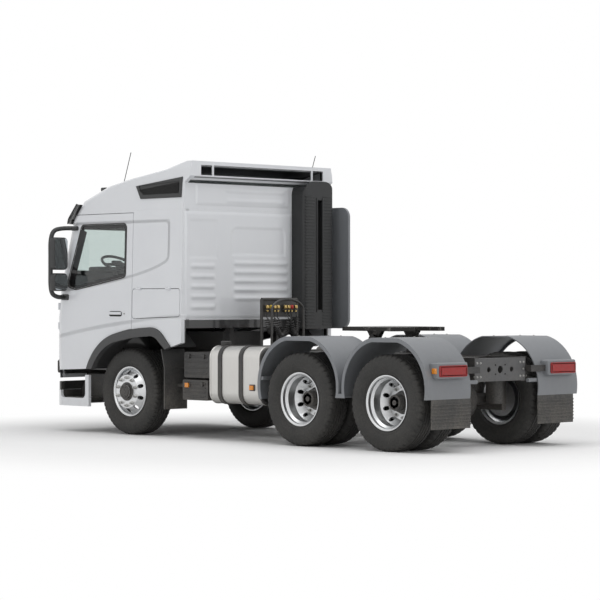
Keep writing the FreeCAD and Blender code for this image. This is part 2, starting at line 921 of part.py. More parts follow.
def frame():
    """Two channel rails that open inward, their cross members, and the brackets for the cab and the tail lamps."""
    wall = size.rail_wall
    front, back = fore(size.rail_front), fore(axle_places[1] - size.rail_rear)
    section = [
        (rail_inner, rail_bottom), (rail_outer, rail_bottom), (rail_outer, size.rail_top),
        (rail_inner, size.rail_top), (rail_inner, size.rail_top - wall), (rail_outer - wall, size.rail_top - wall),
        (rail_outer - wall, rail_bottom + wall), (rail_inner, rail_bottom + wall),
    ]
    rail = prism("rail", "YZ", section, back, front)
    pieces = [rail, mirrored("rail_right", rail)]
    span = (wall - rail_outer, rail_outer - wall)
    heights = (size.rail_top - size.rail_height / 2, size.rail_top - wall)
    half = size.member_length / 2
    places = [size.rail_front - half, -size.engine_back - size.gearbox_length - size.member_length,
              axle_places[0] + size.bogie_spacing / 2, axle_places[0] - size.bogie_spacing / 2, axle_places[1]]
    for index, place in enumerate(places):
        x = fore(place)
        pieces.append(block(f"member_{index}", (x - size.member_wall / 2, x + size.member_wall / 2), span, heights))
        pieces.append(block(f"member_flange_{index}", (x - half, x + half), span,
                            (heights[1] - size.member_wall, heights[1])))
    tilt_x = fore(size.front_overhang - size.tilt_back)
    half_height = size.tilt_bracket_height / 2
    arm = joined("tilt_arm", [
        block("tilt_bracket", (front - size.member_length, tilt_x), (rail_inner, rail_outer),
              (size.tilt_height - half_height, size.tilt_height + half_height)),
        rod("tilt_boss", "Y", half_height, rail_inner, rail_outer, tilt_x, size.tilt_height),
        rod("tilt_pin", "Y", size.tilt_pin_diameter / 2, rail_inner,
            rail_outer + size.panel_gap + size.tilt_leg_wall, tilt_x, size.tilt_height),
    ])
    pieces += [arm, mirrored("tilt_arm_right", arm)]
    rest_back = fore(-size.cab_back) + size.wall
    rest = block("cab_rest", (rest_back, rest_back + size.cab_rest_length), (rail_inner, rail_outer),
                 (size.rail_top, size.floor_top - size.floor_wall - size.seat_gap))
    bracket = lamp_bar()
    pieces += [rest, mirrored("cab_rest_right", rest), bracket, mirrored("lamp_bracket_right", bracket)]
    keep("frame", joined("frame", pieces))


def tail_member():
    """The end cross member: a pressed plate with three holes and the four holes of a drawbar coupling."""
    x = fore(axle_places[1] - size.rail_rear)
    half = rail_outer - size.rail_wall - size.seat_gap
    z_mid = (size.rail_top + rail_bottom) / 2
    low, high = rail_bottom + size.rail_wall + size.seat_gap, size.rail_top - size.rail_wall - size.seat_gap
    plate = block("tail_plate", (x, x + size.member_wall), (-half, half), (low, high))
    flange = block("tail_flange", (x, x + size.rail_flange), (-half, half), (high - size.member_wall, high))
    sill = block("tail_sill", (x, x + size.rail_flange), (-half, half), (low, low + size.member_wall))
    tools = []
    ends = (x - size.overrun, x + size.overrun)
    tools.append(rod("tail_hole", "X", size.tail_hole_diameter / 2, *ends, NONE, z_mid))
    for side in (1, -1):
        tools.append(rod(f"tail_side_hole_{side}", "X", size.tail_side_hole_diameter / 2, *ends,
                         size.tail_hole_spacing * side, z_mid))
        for level in (1, -1):
            tools.append(rod(f"coupling_hole_{side}_{level}", "X", size.coupling_hole_diameter / 2, *ends,
                             size.coupling_spacing_y / 2 * side, z_mid + size.coupling_spacing_z / 2 * level))
    keep("tail_member", cut("tail_member", joined("tail_member_whole", [plate, flange, sill]), tools))


def engine():
    """Engine and gearbox as one plain block between the rails."""
    top = size.engine_top
    gearbox_top = size.engine_bottom + size.gearbox_height
    points = [
        (fore(-size.engine_back - size.gearbox_length), size.engine_bottom + size.gearbox_height / 4),
        (fore(-size.engine_back), size.engine_bottom), (fore(size.engine_front), size.engine_bottom),
        (fore(size.engine_front), top), (fore(-size.engine_back), top), (fore(-size.engine_back), gearbox_top),
        (fore(-size.engine_back - size.gearbox_length), gearbox_top - size.gearbox_height / 4),
    ]
    keep("engine_block", prism("engine_block", "XZ", points, -size.engine_half_width, size.engine_half_width))


def front_axle():
    """A dropped beam with an eye for each kingpin, on two leaf springs hung from the rails."""
    x = fore(NONE)
    top = wheel_z + size.beam_depth / 2
    low = wheel_z - size.beam_depth / 2
    drop = size.beam_drop
    inner, outer = size.beam_drop_half_width, size.beam_rise_half_width
    right = [(outer, low), (kingpin_y, low), (kingpin_y, top), (outer, top), (inner, top - drop)]
    left = [(-u, v) for u, v in right[::-1]]
    points = [(inner, low - drop)] + right + left + [(-inner, low - drop)]
    beam = prism("axle_beam", "YZ", points, x - size.beam_width / 2, x + size.beam_width / 2)
    pieces = [beam]
    tools = []
    for side in (1, -1):
        y = kingpin_y * side
        half_eye = size.axle_eye_height / 2
        pieces.append(rod(f"axle_eye_{side}", "Z", size.axle_eye_diameter / 2, wheel_z - half_eye,
                          wheel_z + half_eye, x, y))
        tools.append(rod(f"axle_bore_{side}", "Z", size.kingpin_diameter / 2 + size.bush_gap,
                         wheel_z - size.overrun - half_eye, wheel_z + size.overrun + half_eye, x, y))
    bored = cut("axle_bored", joined("axle_whole", pieces), tools)
    half = size.spring_half_length
    eye_z = rail_bottom - size.spring_eye_drop
    sag = size.spring_sag
    top_sag = sag - size.spring_pack + size.spring_leaf
    y_range = (rail_outer - size.spring_width, rail_outer)
    leaf = prism("leaf_spring", "XZ", [
        (x - half, eye_z - size.spring_leaf), arc((half * half + sag * sag) / (sag * 2)),
        (x + half, eye_z - size.spring_leaf), (x + half, eye_z), arc(-(half * half + top_sag * top_sag) / (top_sag * 2)),
        (x - half, eye_z),
    ], *y_range)
    seat = block("spring_seat", (x - size.beam_width / 2, x + size.beam_width / 2), y_range,
                 (top - drop, eye_z - size.spring_leaf - sag + size.spring_leaf))
    hangers = [block(f"hanger_{end}", (x + half * end - size.spring_leaf, x + half * end + size.spring_leaf), y_range,
                     (eye_z - size.spring_leaf, rail_bottom)) for end in (1, -1)]
    spring = joined("spring_left", [leaf, seat] + hangers)
    keep("front_axle", joined("front_axle", [bored, spring, mirrored("spring_right", spring)]))


def drive_axle(number):
    """A driven axle: tube, round housing, nose, trailing arms and air springs under the rails."""
    x = fore(axle_places[number - 1])
    reach = dual_y + size.hub_length / 2 - size.running_gap
    inner = dual_y - size.hub_length / 2 - size.drum_width - size.running_gap
    tube = rod(f"axle_tube_{number}", "Y", size.axle_tube_diameter / 2, -inner, inner, x, wheel_z)
    spindles = rod(f"spindles_{number}", "Y", size.spindle_diameter / 2, -reach, reach, x, wheel_z)
    banjo_radius = size.banjo_diameter / 2
    half = size.banjo_width / 2
    banjo = turned(f"banjo_{number}", "XZ", "X", [
        (-half, 0), (half, 0), (half, size.nose_diameter / 2), (half / 2, banjo_radius), (-half / 2, banjo_radius),
        (-half, size.banjo_back_diameter / 2),
    ], x, NONE, wheel_z)
    nose = rod(f"nose_{number}", "X", size.nose_diameter / 2, x, x + size.nose_length, NONE, wheel_z)
    pieces = [tube, spindles, banjo, nose]
    arm_top = wheel_z - size.axle_tube_diameter / 2 + size.arm_height / 4
    arm_y = (size.air_spring_offset - size.arm_height / 2, size.air_spring_offset + size.arm_height / 2)
    arm = block(f"arm_{number}", (x - size.arm_reach / 2, x + size.arm_reach / 2), arm_y,
                (arm_top - size.arm_height, arm_top))
    bags = [rod(f"air_spring_{number}_{end}", "Z", size.air_spring_diameter / 2, arm_top, rail_bottom,
                x + (size.arm_reach - size.air_spring_diameter) / 2 * end, size.air_spring_offset)
            for end in (1, -1)]
    half_set = joined(f"suspension_{number}", [arm] + bags)
    pieces += [half_set, mirrored(f"suspension_right_{number}", half_set)]
    return joined(f"drive_axle_{number}", pieces)


def driveline():
    """Both drive axles, with the shafts that reach them from the gearbox."""
    first_x, second_x = fore(axle_places[0]), fore(axle_places[1])
    radius = size.shaft_diameter / 2
    gearbox_end = fore(-size.engine_back - size.gearbox_length)
    shafts = [
        rod("prop_shaft", "X", radius, first_x + size.nose_length, gearbox_end, NONE, wheel_z + size.banjo_diameter / 2),
        rod("link_shaft", "X", radius, second_x, first_x, NONE, wheel_z),
    ]
    riser = block("shaft_riser", (first_x + size.nose_length / 2, first_x + size.nose_length + radius),
                  (-radius, radius), (wheel_z, wheel_z + size.banjo_diameter / 2 + radius))
    keep("drive_axles", joined("drive_axles", [drive_axle(1), drive_axle(2), riser] + shafts))


def tank_section(grow):
    """The rounded section of the fuel tank, grown outward by one distance."""
    radius = size.tank_rounding + grow
    inner, outer = size.tank_inner - grow, size.tank_outer + grow
    low, high = size.tank_bottom - grow, size.tank_top + grow
    return [(inner, low, radius), (outer, low, radius), (outer, high, radius), (inner, high, radius)]


def fuel_tank():
    """The left fuel tank, its two straps and the brackets that carry it on the rail."""
    front, back = fore(-size.tank_front), fore(-size.tank_back)
    keep("fuel_tank", prism("fuel_tank", "YZ", tank_section(NONE), back, front))
    pieces = []
    hollow = prism("strap_hollow", "YZ", tank_section(size.seat_gap), back - size.overrun, front + size.overrun)
    for index, place in enumerate((size.strap_place_one, size.strap_place_two)):
        x = (fore(-place - size.strap_width), fore(-place))
        band = prism(f"strap_{index}", "YZ", tank_section(size.seat_gap + size.strap_wall), *x)
        bracket = block(f"strap_bracket_{index}", x, (rail_outer, size.tank_inner + size.tank_rounding),
                        (rail_bottom, rail_bottom + size.strap_bracket_height))
        pieces.append(cut(f"strap_piece_{index}", joined(f"strap_whole_{index}", [band, bracket]), [hollow]))
    return pieces


def side_boxes():
    """Black boxes behind the front wheels: two stacked on each side, on a plate from the rail."""
    front, back = fore(-size.side_box_front), fore(-size.side_box_back)
    middle = (size.side_box_split - size.side_box_gap / 2, size.side_box_split + size.side_box_gap / 2)
    radius = size.side_box_rounding
    inner = size.tank_inner
    lower = prism("box_lower", "XZ", [
        (back, size.side_box_bottom, radius), (front, size.side_box_bottom, radius), (front, middle[0], radius),
        (back, middle[0], radius)], inner, size.side_box_outer)
    upper = prism("box_upper", "XZ", [
        (back, middle[1], radius), (front, middle[1], radius), (front, size.side_box_top, radius),
        (back, size.side_box_top, radius)], inner, size.side_box_outer - size.side_box_gap)
    plate = block("box_plate", (back + radius, front - radius), (rail_outer, inner + size.side_box_gap),
                  (size.side_box_split - size.strap_bracket_height, size.side_box_split + size.strap_bracket_height * 2))
    half_set = joined("box_set", [lower, upper, plate])
    pieces = [half_set, mirrored("box_set_right", half_set)] + fuel_tank()
    keep("side_boxes", grouped("side_boxes", pieces))


def exhaust_box():
    """The right side's exhaust box, bracketed to the rail."""
    front, back = fore(-size.exhaust_front), fore(-size.exhaust_back)
    radius = size.exhaust_rounding
    low, high = size.exhaust_bottom, size.exhaust_top
    box = prism("exhaust_body", "YZ", [
        (-size.tank_outer, low, radius), (-size.tank_inner, low, radius), (-size.tank_inner, high, radius),
        (-size.tank_outer, high, radius)], back, front)
    pieces = [box]
    for index, place in enumerate((size.strap_place_one, size.strap_place_two)):
        pieces.append(block(f"exhaust_bracket_{index}", (fore(-place - size.strap_width), fore(-place)),
                            (-size.tank_inner - radius, -rail_outer),
                            (rail_bottom, rail_bottom + size.strap_bracket_height)))
    keep("exhaust_box", joined("exhaust_box", pieces))


def front_flaps():
    """Bent plastic flaps behind the front wheels, carried on arms from the side boxes."""
    x = fore(-size.front_flap_place)
    wall = size.front_flap_wall
    bend = size.front_flap_bend
    top = size.front_flap_top
    points = [
        (x - wall, size.front_flap_bottom), (x, size.front_flap_bottom), (x, top - bend * 2), (x + bend / 2, top),
        (x + bend / 2 - wall, top), (x - wall, top - bend * 2),
    ]
    sheet_part = prism("front_flap", "XZ", points, size.front_flap_inner, size.front_flap_outer)
    y_mid = (size.front_flap_inner + size.side_box_outer) / 2
    arm = rod("flap_arm", "X", size.fender_stay_diameter / 2, fore(-size.side_box_front) + size.seat_gap, x - wall / 2,
              y_mid, size.side_box_split - size.strap_bracket_height)
    keep("front_flaps", both_sides("front_flaps", joined("front_flap_left", [sheet_part, arm])))


def fender_curve(inset):
    """The line over both drive wheels, from front to back: two humps with a narrow valley between them."""
    first, second = fore(axle_places[0]), fore(axle_places[1])
    middle = (first + second) / 2
    reach = size.fender_reach - inset
    top = size.fender_top - inset
    flat = size.fender_flat_half
    half = size.fender_valley_half + inset
    valley = size.fender_valley - inset
    radius = size.fender_arc_radius - inset
    return [
        (first + reach, size.fender_foot), arc(radius), (first + flat, top), (first - flat, top), arc(radius),
        (middle + half, valley), (middle - half, valley), arc(radius), (second + flat, top), (second - flat, top),
        arc(radius), (second - reach, size.fender_foot_rear),
    ]


def under_fender(inset):
    """The space under the fenders' line, open below their feet."""
    curve = fender_curve(inset)
    low = size.fender_foot - size.overrun
    return [(curve[0][0], low)] + curve + [(curve[-1][0], low)]


def rear_fenders():
    """Moulded fenders over the twin wheels, one double hump each side, on stays from the frame."""
    y_range = (size.fender_inner, size.fender_outer)
    over = prism("fender_over", "XZ", fender_curve(NONE), *y_range)
    under = prism("fender_under", "XZ", under_fender(size.fender_wall), y_range[0] - size.overrun,
                  y_range[1] + size.overrun)
    skin = cut("fender_skin", over, [under])
    lip_over = prism("lip_over", "XZ", fender_curve(NONE), size.fender_outer - size.fender_wall, size.fender_outer)
    lip_under = prism("lip_under", "XZ", under_fender(size.fender_lip), y_range[0], y_range[1] + size.overrun)
    lip = cut("fender_lip_ring", lip_over, [lip_under])
    radius = size.fender_stay_diameter / 2
    stays = []
    end = size.fender_reach - size.fender_wall - radius
    valley = size.fender_valley - size.fender_wall - radius / 2
    places = ((end, size.fender_stay_height), (-size.bogie_spacing / 2, valley),
              (-size.bogie_spacing - end, size.fender_stay_height))
    for index, (place, height) in enumerate(places):
        stays.append(rod(f"fender_stay_{index}", "Y", radius, rail_outer, size.fender_outer - size.fender_wall,
                         fore(axle_places[0] + place), height))
    whole = joined("fender_left", [skin, lip] + stays)
    keep("rear_fenders", both_sides("rear_fenders", whole))


def rear_flaps():
    """Rubber flaps with level ribs that hang from the fenders' rear ends."""
    x = fore(axle_places[1] - size.fender_reach) + size.flap_wall
    back = x - size.flap_wall
    top = size.fender_foot_rear - size.seat_gap
    pitch = size.flap_rib_pitch
    rib_low = size.flap_bottom + size.flap_rib_margin
    count = int((top.number - rib_low.number) / pitch.number)
    points = [(x, top), (x, size.flap_bottom), (back, size.flap_bottom)]
    for index in range(count):
        z = rib_low + pitch * index
        points += [(back, z), (back - size.flap_wall, z + pitch / 4), (back - size.flap_wall, z + pitch / 2),
                   (back, z + pitch * 3 / 4)]
    points.append((back, top))
    flap = prism("rear_flap", "XZ", points[::-1], size.flap_inner, size.flap_outer)
    keep("rear_flaps", both_sides("rear_flaps", flap))


def lamp_bar():
    """The flat bar behind each fender that carries its lamp, on a foot along the rail."""
    back = fore(axle_places[1] - size.rear_reach) + size.lamp_box_depth
    high = size.lamp_box_bottom + size.lamp_box_height - size.lamp_bar_height / 2
    z = (size.lamp_box_bottom + size.lamp_bar_height / 2, high)
    bar = block("lamp_bar", (back, back + size.fender_wall), (rail_outer, size.lamp_box_inner + size.lamp_box_width), z)
    foot = block("lamp_foot", (back, back + size.lamp_foot_length), (rail_outer, rail_outer + size.fender_wall), z)
    return joined("lamp_bracket", [bar, foot])


def lamps():
    """Tail lamps behind the fenders, and the amber side markers ahead of and behind the tank."""
    back = fore(axle_places[1] - size.rear_reach)
    radius = size.lamp_box_rounding
    y = (size.lamp_box_inner, size.lamp_box_inner + size.lamp_box_width)
    z = (size.lamp_box_bottom, size.lamp_box_bottom + size.lamp_box_height)
    box = prism("tail_lamp", "YZ", [(y[0], z[0], radius), (y[1], z[0], radius), (y[1], z[1], radius),
                                    (y[0], z[1], radius)], back, back + size.lamp_box_depth)
    keep("tail_lamps", both_sides("tail_lamps", box))
    height = (size.side_box_split - size.marker_height * 2, size.side_box_split - size.marker_height)
    markers = []
    for name, place, side in (("front", size.side_box_front + size.marker_width, size.side_box_outer),
                              ("back", size.exhaust_back - size.marker_width * 2, size.tank_outer)):
        marker = block(f"marker_{name}", (fore(-place - size.marker_width), fore(-place)),
                       (side, side + size.marker_depth), height)
        markers += [marker, mirrored(f"marker_{name}_right", marker)]
    keep("marker_lamps", grouped("marker_lamps", markers))


def deck():
    """A chequered walkway plate on the rails behind the cab, with the stand for the air and light lines."""
    front, back = fore(-size.deck_front), fore(-size.deck_back)
    top = size.rail_top + size.deck_wall
    plate = block("deck_sheet", (back, front), (-size.deck_half_width, size.deck_half_width), (size.rail_top, top))
    keep("deck_plate", plate)
    x = fore(-size.stand_place)
    radius = size.stand_tube / 2
    half = size.stand_half_width
    height = top + size.stand_height
    pieces = [block("stand_base", (x - size.stand_base, x + size.stand_base), (-half - size.stand_base,
                                                                               half + size.stand_base),
                    (top, top + size.stand_tube))]
    for side in (1, -1):
        pieces.append(rod(f"stand_post_{side}", "Z", radius, top, height - size.stand_base, x, half * side))
    pieces.append(rod("stand_bar", "Y", radius, -half, half, x, height - size.stand_base))
    pieces.append(block("stand_panel", (x - radius / 2, x + radius / 2), (-half, half),
                        (height - size.stand_base * 4, height - size.stand_base)))
    keep("hose_stand", joined("hose_stand", pieces))


def fifth_wheel():
    """The coupling plate on its pivot, with its closed jaws, and the mount that carries it on the rails."""
    x = fore(-size.fifth_place)
    half = size.fifth_half_width
    top = size.fifth_plate_top
    low = top - size.fifth_plate_wall
    throat = size.fifth_throat_half
    jaw = size.fifth_jaw_diameter / 2
    mouth = jaw / 2
    rear = x - size.fifth_rear_reach
    front = x + size.fifth_front_reach
    radius = size.fifth_rounding
    shoulder = x - size.fifth_rounding
    tail = half - size.fifth_rounding
    points = [
        (rear, tail), (rear, throat), (x - jaw, mouth), (x - jaw, -mouth), (rear, -throat), (rear, -tail),
        (shoulder, -half), (front, -half, radius), (front, half, radius), (shoulder, half),
    ]
    plate = prism("fifth_top", "XY", points, low, top)
    jaws = rod("fifth_jaws", "Z", jaw, low - size.fifth_jaw_drop, top - size.fifth_jaw_drop, x, NONE)
    pivot = size.fifth_pivot_height
    pin = size.fifth_pin_diameter / 2
    ear_y = (size.fifth_ear_inner - size.fifth_ear_wall, size.fifth_ear_inner)
    ear = prism("fifth_ear", "XZ", [
        (x - size.fifth_ear_length / 2, low), (x - pin - pin / 2, pivot - pin), arc(pin * 2),
        (x + pin + pin / 2, pivot - pin), (x + size.fifth_ear_length / 2, low)], *ear_y)
    bore = rod("fifth_bore", "Y", pin + size.bush_gap, -half, half, x, pivot)
    kingpin = rod("kingpin_bore", "Z", size.fifth_bore_diameter / 2, low - size.overrun, top + size.overrun, x, NONE)
    whole = joined("fifth_whole", [plate, jaws, ear, mirrored("fifth_ear_right", ear)])
    keep("fifth_wheel_plate", cut("fifth_wheel_plate", whole, [bore, kingpin]))
    base_top = size.rail_top + size.fifth_base_wall
    base = block("fifth_base", (x - size.fifth_base_length / 2, x + size.fifth_base_length / 2),
                 (-rail_outer, rail_outer), (size.rail_top, base_top))
    cheek_y = (size.fifth_ear_inner + size.running_gap, size.fifth_ear_inner + size.running_gap + size.fifth_cheek_wall)
    cheek = prism("fifth_cheek", "XZ", [
        (x - size.fifth_cheek_length / 2, base_top), (x + size.fifth_cheek_length / 2, base_top),
        (x + pin + pin / 2, pivot), arc(pin * 2), (x - pin - pin / 2, pivot)], *cheek_y)
    bolt = rod("fifth_pin", "Y", pin, ear_y[0], cheek_y[1], x, pivot)
    half_set = joined("fifth_cheek_set", [cheek, bolt])
    keep("fifth_wheel_mount", joined("fifth_wheel_mount", [base, half_set, mirrored("fifth_cheek_right", half_set)]))


def bumper_plan(grow, back):
    """The bumper's outline from above: rounded front corners and a slightly bowed face."""
    half = half_cab + grow
    radius = size.nose_corner + grow
    face = fore(size.front_overhang) - size.nose_bulge + grow
    return nose_outline(back, face, half, radius)


def nose_outline(back, face, half, radius):
    """An outline from above with a straight back, rounded front corners and a bowed face between them."""
    flat = half - radius
    bow = (flat * flat + size.nose_bulge * size.nose_bulge) / (size.nose_bulge * 2)
    return [
        (back, -half), (face - radius, -half), arc(radius), (face, -flat), arc(bow), (face, flat), arc(radius),
        (face - radius, half), (back, half),
    ]


def plan_ring(name, inset, low, high):
    """A wall that follows the bumper's outline, open at the back."""
    back = fore(size.step_rear)
    outer = prism(f"{name}_outer", "XY", bumper_plan(-inset, back), low, high)
    hollow = prism(f"{name}_hollow", "XY", bumper_plan(-size.bumper_wall - inset, back - size.overrun),
                   low - size.overrun, high + size.overrun)
    return cut(f"{name}_ring", outer, [hollow])


def bumper():
    """The painted bumper with its side sills, the dark band above it, and the beam that carries both."""
    back, front = fore(size.step_rear), fore(size.front_overhang) + size.overrun
    post, step = fore(size.step_rear + size.step_post), fore(size.step_front)
    low, high = size.bumper_bottom, size.step_top
    radius = size.bumper_foot_rounding
    far = half_cab + size.overrun
    ring = plan_ring("bumper_wall", NONE, low, high)
    side = prism("bumper_side", "XZ", [
        (back, low), (front, low), (front, size.bumper_top), (step, size.bumper_top),
        (step, size.step_floor, radius), (post, size.step_floor, radius), (post, high), (back, high)], -far, far)
    keep("bumper", common("bumper", ring, side))
    band_low = size.bumper_top + size.seat_gap
    band = plan_ring("band_wall", size.lamp_proud, band_low, size.band_top)
    keep("bumper_band", common("bumper_band", band, block("band_zone", (step, front), (-far, far),
                                                        (band_low, size.band_top))))
    inside = half_cab - size.bumper_wall - size.seat_gap
    beam_low = low + size.valance_height
    beam_top = size.step_floor - size.step_wall - size.seat_gap
    beam = block("bumper_bar", (step - size.bumper_beam_width, step), (-inside, inside), (beam_low, beam_top))
    rail_end = fore(size.rail_front)
    width = size.bumper_beam_width
    arm = prism("bumper_arm", "XZ", [
        (rail_end - width, rail_bottom), (rail_end - width / 2, beam_low),
        (front - size.overrun - size.bumper_wall / 2, beam_low),
        (front - size.overrun - size.bumper_wall / 2, size.bumper_top), (rail_end, size.bumper_top),
        (rail_end - size.step_wall, rail_bottom)], rail_inner, rail_outer)
    fitted = cut("bumper_arm_fitted", arm, [ring])
    bar = cut("bumper_bar_fitted", beam, [ring])
    keep("bumper_beam", joined("bumper_beam", [bar, fitted, mirrored("bumper_arm_right", fitted)]))
    return ring


def entry_steps(ring):
    """The entry step's dark recess on each side: tread, back wall, front wall and its arm to the rail."""
    post = fore(size.step_rear + size.step_post)
    front = fore(size.step_front)
    wall = size.step_wall
    inner = size.step_inner
    outer = half_cab - size.bumper_wall - size.seat_gap
    floor = size.step_floor
    arm_x = (fore(size.rail_front) - size.bumper_beam_width, fore(size.rail_front) - wall)
    pieces = [
        block("step_tread", (post - wall, front + wall), (inner - wall, outer), (floor - wall, floor)),
        prism("step_back", "XZ", [
            (post - wall, floor), (front + wall, floor), (front + wall, size.bumper_top),
            (front + wall - size.step_slant, size.step_top), (post - wall, size.step_top)], inner - wall, inner),
        block("step_end", (front, front + wall), (inner, outer - size.lamp_proud), (floor, size.bumper_top)),
        block("step_arm", arm_x, (rail_outer, inner), (size.step_top - wall, size.step_top)),
        block("step_lug", arm_x, (rail_outer, rail_outer + wall), (size.step_top, rail_bottom + wall * 2)),
    ]
    left = cut("entry_step_left", joined("entry_step_whole", pieces), [ring])
    keep("entry_steps", both_sides("entry_steps", left))


# Cab


def part_of(station, part):
    """One of a station's sizes, or nothing where it has none."""
    return getattr(size, f"{station}_{part}", NONE)


def station_outline(station, grow):
    """The cab's outline from above at one of its stations, grown outward."""
    forward_share = STATION_SHARES[station][0]
    front = fore(size.front_overhang - part_of(station, "setback")) + grow * forward_share
    back = fore(-size.cab_back - part_of(station, "overhang")) - grow
    half = half_cab - part_of(station, "inset") + grow
    return nose_outline(back, front - size.nose_bulge, half, part_of(station, "corner") + grow)


def cab_form(name, grow):
    """The whole cab as one closed form through its stations, grown outward by one distance."""
    grow = as_dim(grow)
    body = doc.addObject("PartDesign::Body", name)
    sketches = []
    for station in CAB_STATIONS:
        height = part_of(station, "height") + grow * STATION_SHARES[station][1]
        sketches.append(draw_outline(body, f"{name}_{station}", "XY", station_outline(station, grow), height))
    loft = body.newObject("PartDesign::AdditiveLoft", f"{name}_loft")
    loft.Profile = sketches[0]
    loft.Sections = sketches[1:]
    loft.Ruled = True
    return body


far = size.overrun * 2
cab_front, cab_rear = fore(size.front_overhang), fore(-size.cab_back)
floor_low = size.floor_top - size.floor_wall


def side_prism(name, points, depth):
    """A prism through the left side wall, from a depth inside the cab's width to well outside it."""
    return prism(name, "XZ", points, half_cab - depth, half_cab + size.overrun)


def both_walls(name, points, depth):
    """The same prism through the left and the right side wall."""
    left = side_prism(name, points, depth)
    return [left, mirrored(f"{name}_right", left)]


# Shares of a growth by which each point of the wheel arch moves forward and up
ARCH_SHARES = {
    "foot": (1, 0),
    "knee": (0.5, 0.87),
    "crest": (0.05, 1),
    "heel": (-0.7, 0.7),
    "tail": (-0.9, 0.3),
}


def arch_point(point, x, z, grow):
    """One point of the wheel arch, moved by its shares of a growth."""
    forward_share, upward_share = ARCH_SHARES[point]
    return (fore(x) + grow * forward_share, z + grow * upward_share)


def arch_curve(grow):
    """The wheel arch's edge from its front foot over the wheel to its tail."""
    grow = as_dim(grow)
    return [
        arch_point("foot", size.arch_foot, size.arch_foot_height, grow), arc(size.arch_front_radius + grow),
        arch_point("knee", size.arch_knee, size.arch_knee_height, grow), arc(size.arch_crest_radius + grow),
        arch_point("crest", -size.arch_crest, size.arch_crest_height, grow), arc(size.arch_heel_radius + grow),
        arch_point("heel", -size.arch_heel, size.arch_heel_height, grow),
        arch_point("tail", -size.arch_tail, size.arch_tail_height, grow),
    ]


def turned_back(curve):
    """The same curve walked the other way, so that its arcs bow inward."""
    return [("arc", -item[1]) if item[0] == "arc" else item for item in curve[::-1]]


def door_outline(grow):
    """The door's edge: upright front, raked pillar, straight top and back, and the wheel arch below."""
    grow = as_dim(grow)
    arch = arch_curve(size.panel_gap - grow)[:4]
    back = fore(-size.door_back) - grow
    return [
        (fore(size.door_foot_front) + grow, size.door_bottom - grow),
        (fore(size.door_front) + grow, size.door_shoulder),
        (fore(size.door_pillar_back) + grow, size.door_pillar_top),
        (fore(size.door_top_back) + grow, size.door_top + grow),
        (back, size.door_top + grow), (back, size.door_arch_height - grow),
    ] + turned_back(arch)


def window_outline(grow):
    """The door window's edge, lowest near its front corner."""
    grow = as_dim(grow)
    radius = size.window_rounding + grow
    back = fore(-size.window_back) - grow
    return [
        (back, size.window_back_height - grow, radius),
        (fore(size.window_low), size.window_low_height - grow, radius * 2),
        (fore(size.window_front) + grow, size.window_front_height - grow, radius),
        (fore(size.window_top_front) + grow, size.window_top + grow, radius),
        (back, size.window_top + grow, radius),
    ]


def even_outline(half_low, half_high, low, high, radius):
    """A rounded outline seen from the front, the same on both sides."""
    return [(-half_low, low, radius), (half_low, low, radius), (half_high, high, radius), (-half_high, high, radius)]


def screen_outline(grow):
    """The windscreen's edge seen from the front."""
    return even_outline(size.screen_half_width + grow, size.screen_top_half_width + grow, size.screen_bottom - grow,
                        size.header_bottom + grow, size.screen_rounding)


def lid_outline(grow):
    """The front lid's edge seen from the front."""
    half = size.lid_half_width + grow
    return even_outline(half, half, size.lid_bottom - grow, size.lid_top + grow, size.lid_rounding)


def lamp_outline(grow):
    """The left headlamp's edge seen from the front."""
    radius = size.lamp_box_rounding
    inner, outer = size.lamp_inner - grow, size.lamp_outer + grow
    low, high = size.lamp_bottom - grow, size.lamp_top + grow
    return [(inner, low, radius), (outer, low, radius), (outer, high, radius), (inner, high, radius)]


def locker_outline(grow):
    """The side locker's edge, its foot along the lower crease."""
    grow = as_dim(grow)
    radius = size.locker_rounding
    front, back = fore(-size.locker_front) + grow, fore(-size.locker_back) - grow
    return [(back, size.locker_bottom_back - grow, radius), (front, size.locker_bottom_front - grow, radius),
            (front, size.locker_top + grow, radius), (back, size.locker_top + grow, radius)]


def vent_outline(grow):
    """The roof vent's edge: a long panel, narrower and slanted in front."""
    grow = as_dim(grow)
    front, back = fore(-size.vent_front) + grow, fore(-size.vent_back) - grow
    return [(back, size.vent_bottom - grow), (front - size.vent_slant, size.vent_bottom - grow),
            (front, size.vent_front_top), (back, size.vent_top + grow)]


def hinge_barrels(name, axis, first, second, starts):
    """A pair of barrels at each start along a hinge's axis, one for the shell and one for the panel it carries."""
    radius = size.hinge_diameter / 2
    clear = radius + size.running_gap
    length = size.hinge_length
    split = size.seat_gap / 2
    hinge = SimpleNamespace(fixed=[], moving=[], fixed_room=[], moving_room=[])
    for index, start in enumerate(starts):
        middle = start + length
        label = f"{name}_{index}"
        hinge.fixed.append(rod(f"{label}_fixed", axis, radius, start, middle - split, first, second))
        hinge.moving.append(rod(f"{label}_moving", axis, radius, middle + split, middle + length, first, second))
        hinge.moving_room.append(rod(f"{label}_moving_room", axis, clear, start - size.running_gap, middle, first,
                                     second))
        hinge.fixed_room.append(rod(f"{label}_fixed_room", axis, clear, middle, middle + length + size.running_gap,
                                    first, second))
    return hinge


def hinge_twin(hinge, name):
    """The same hinge on the other side."""
    twins = {role: [mirrored(f"{name}_{role}_{index}", barrel) for index, barrel in enumerate(barrels)]
             for role, barrels in vars(hinge).items()}
    return SimpleNamespace(**twins)


def hung(name, panel, hinge):
    """A panel with its hinges' barrels, and room for those of the shell."""
    return joined(name, [cut(f"{name}_cleared", panel, hinge.moving_room)] + hinge.moving)


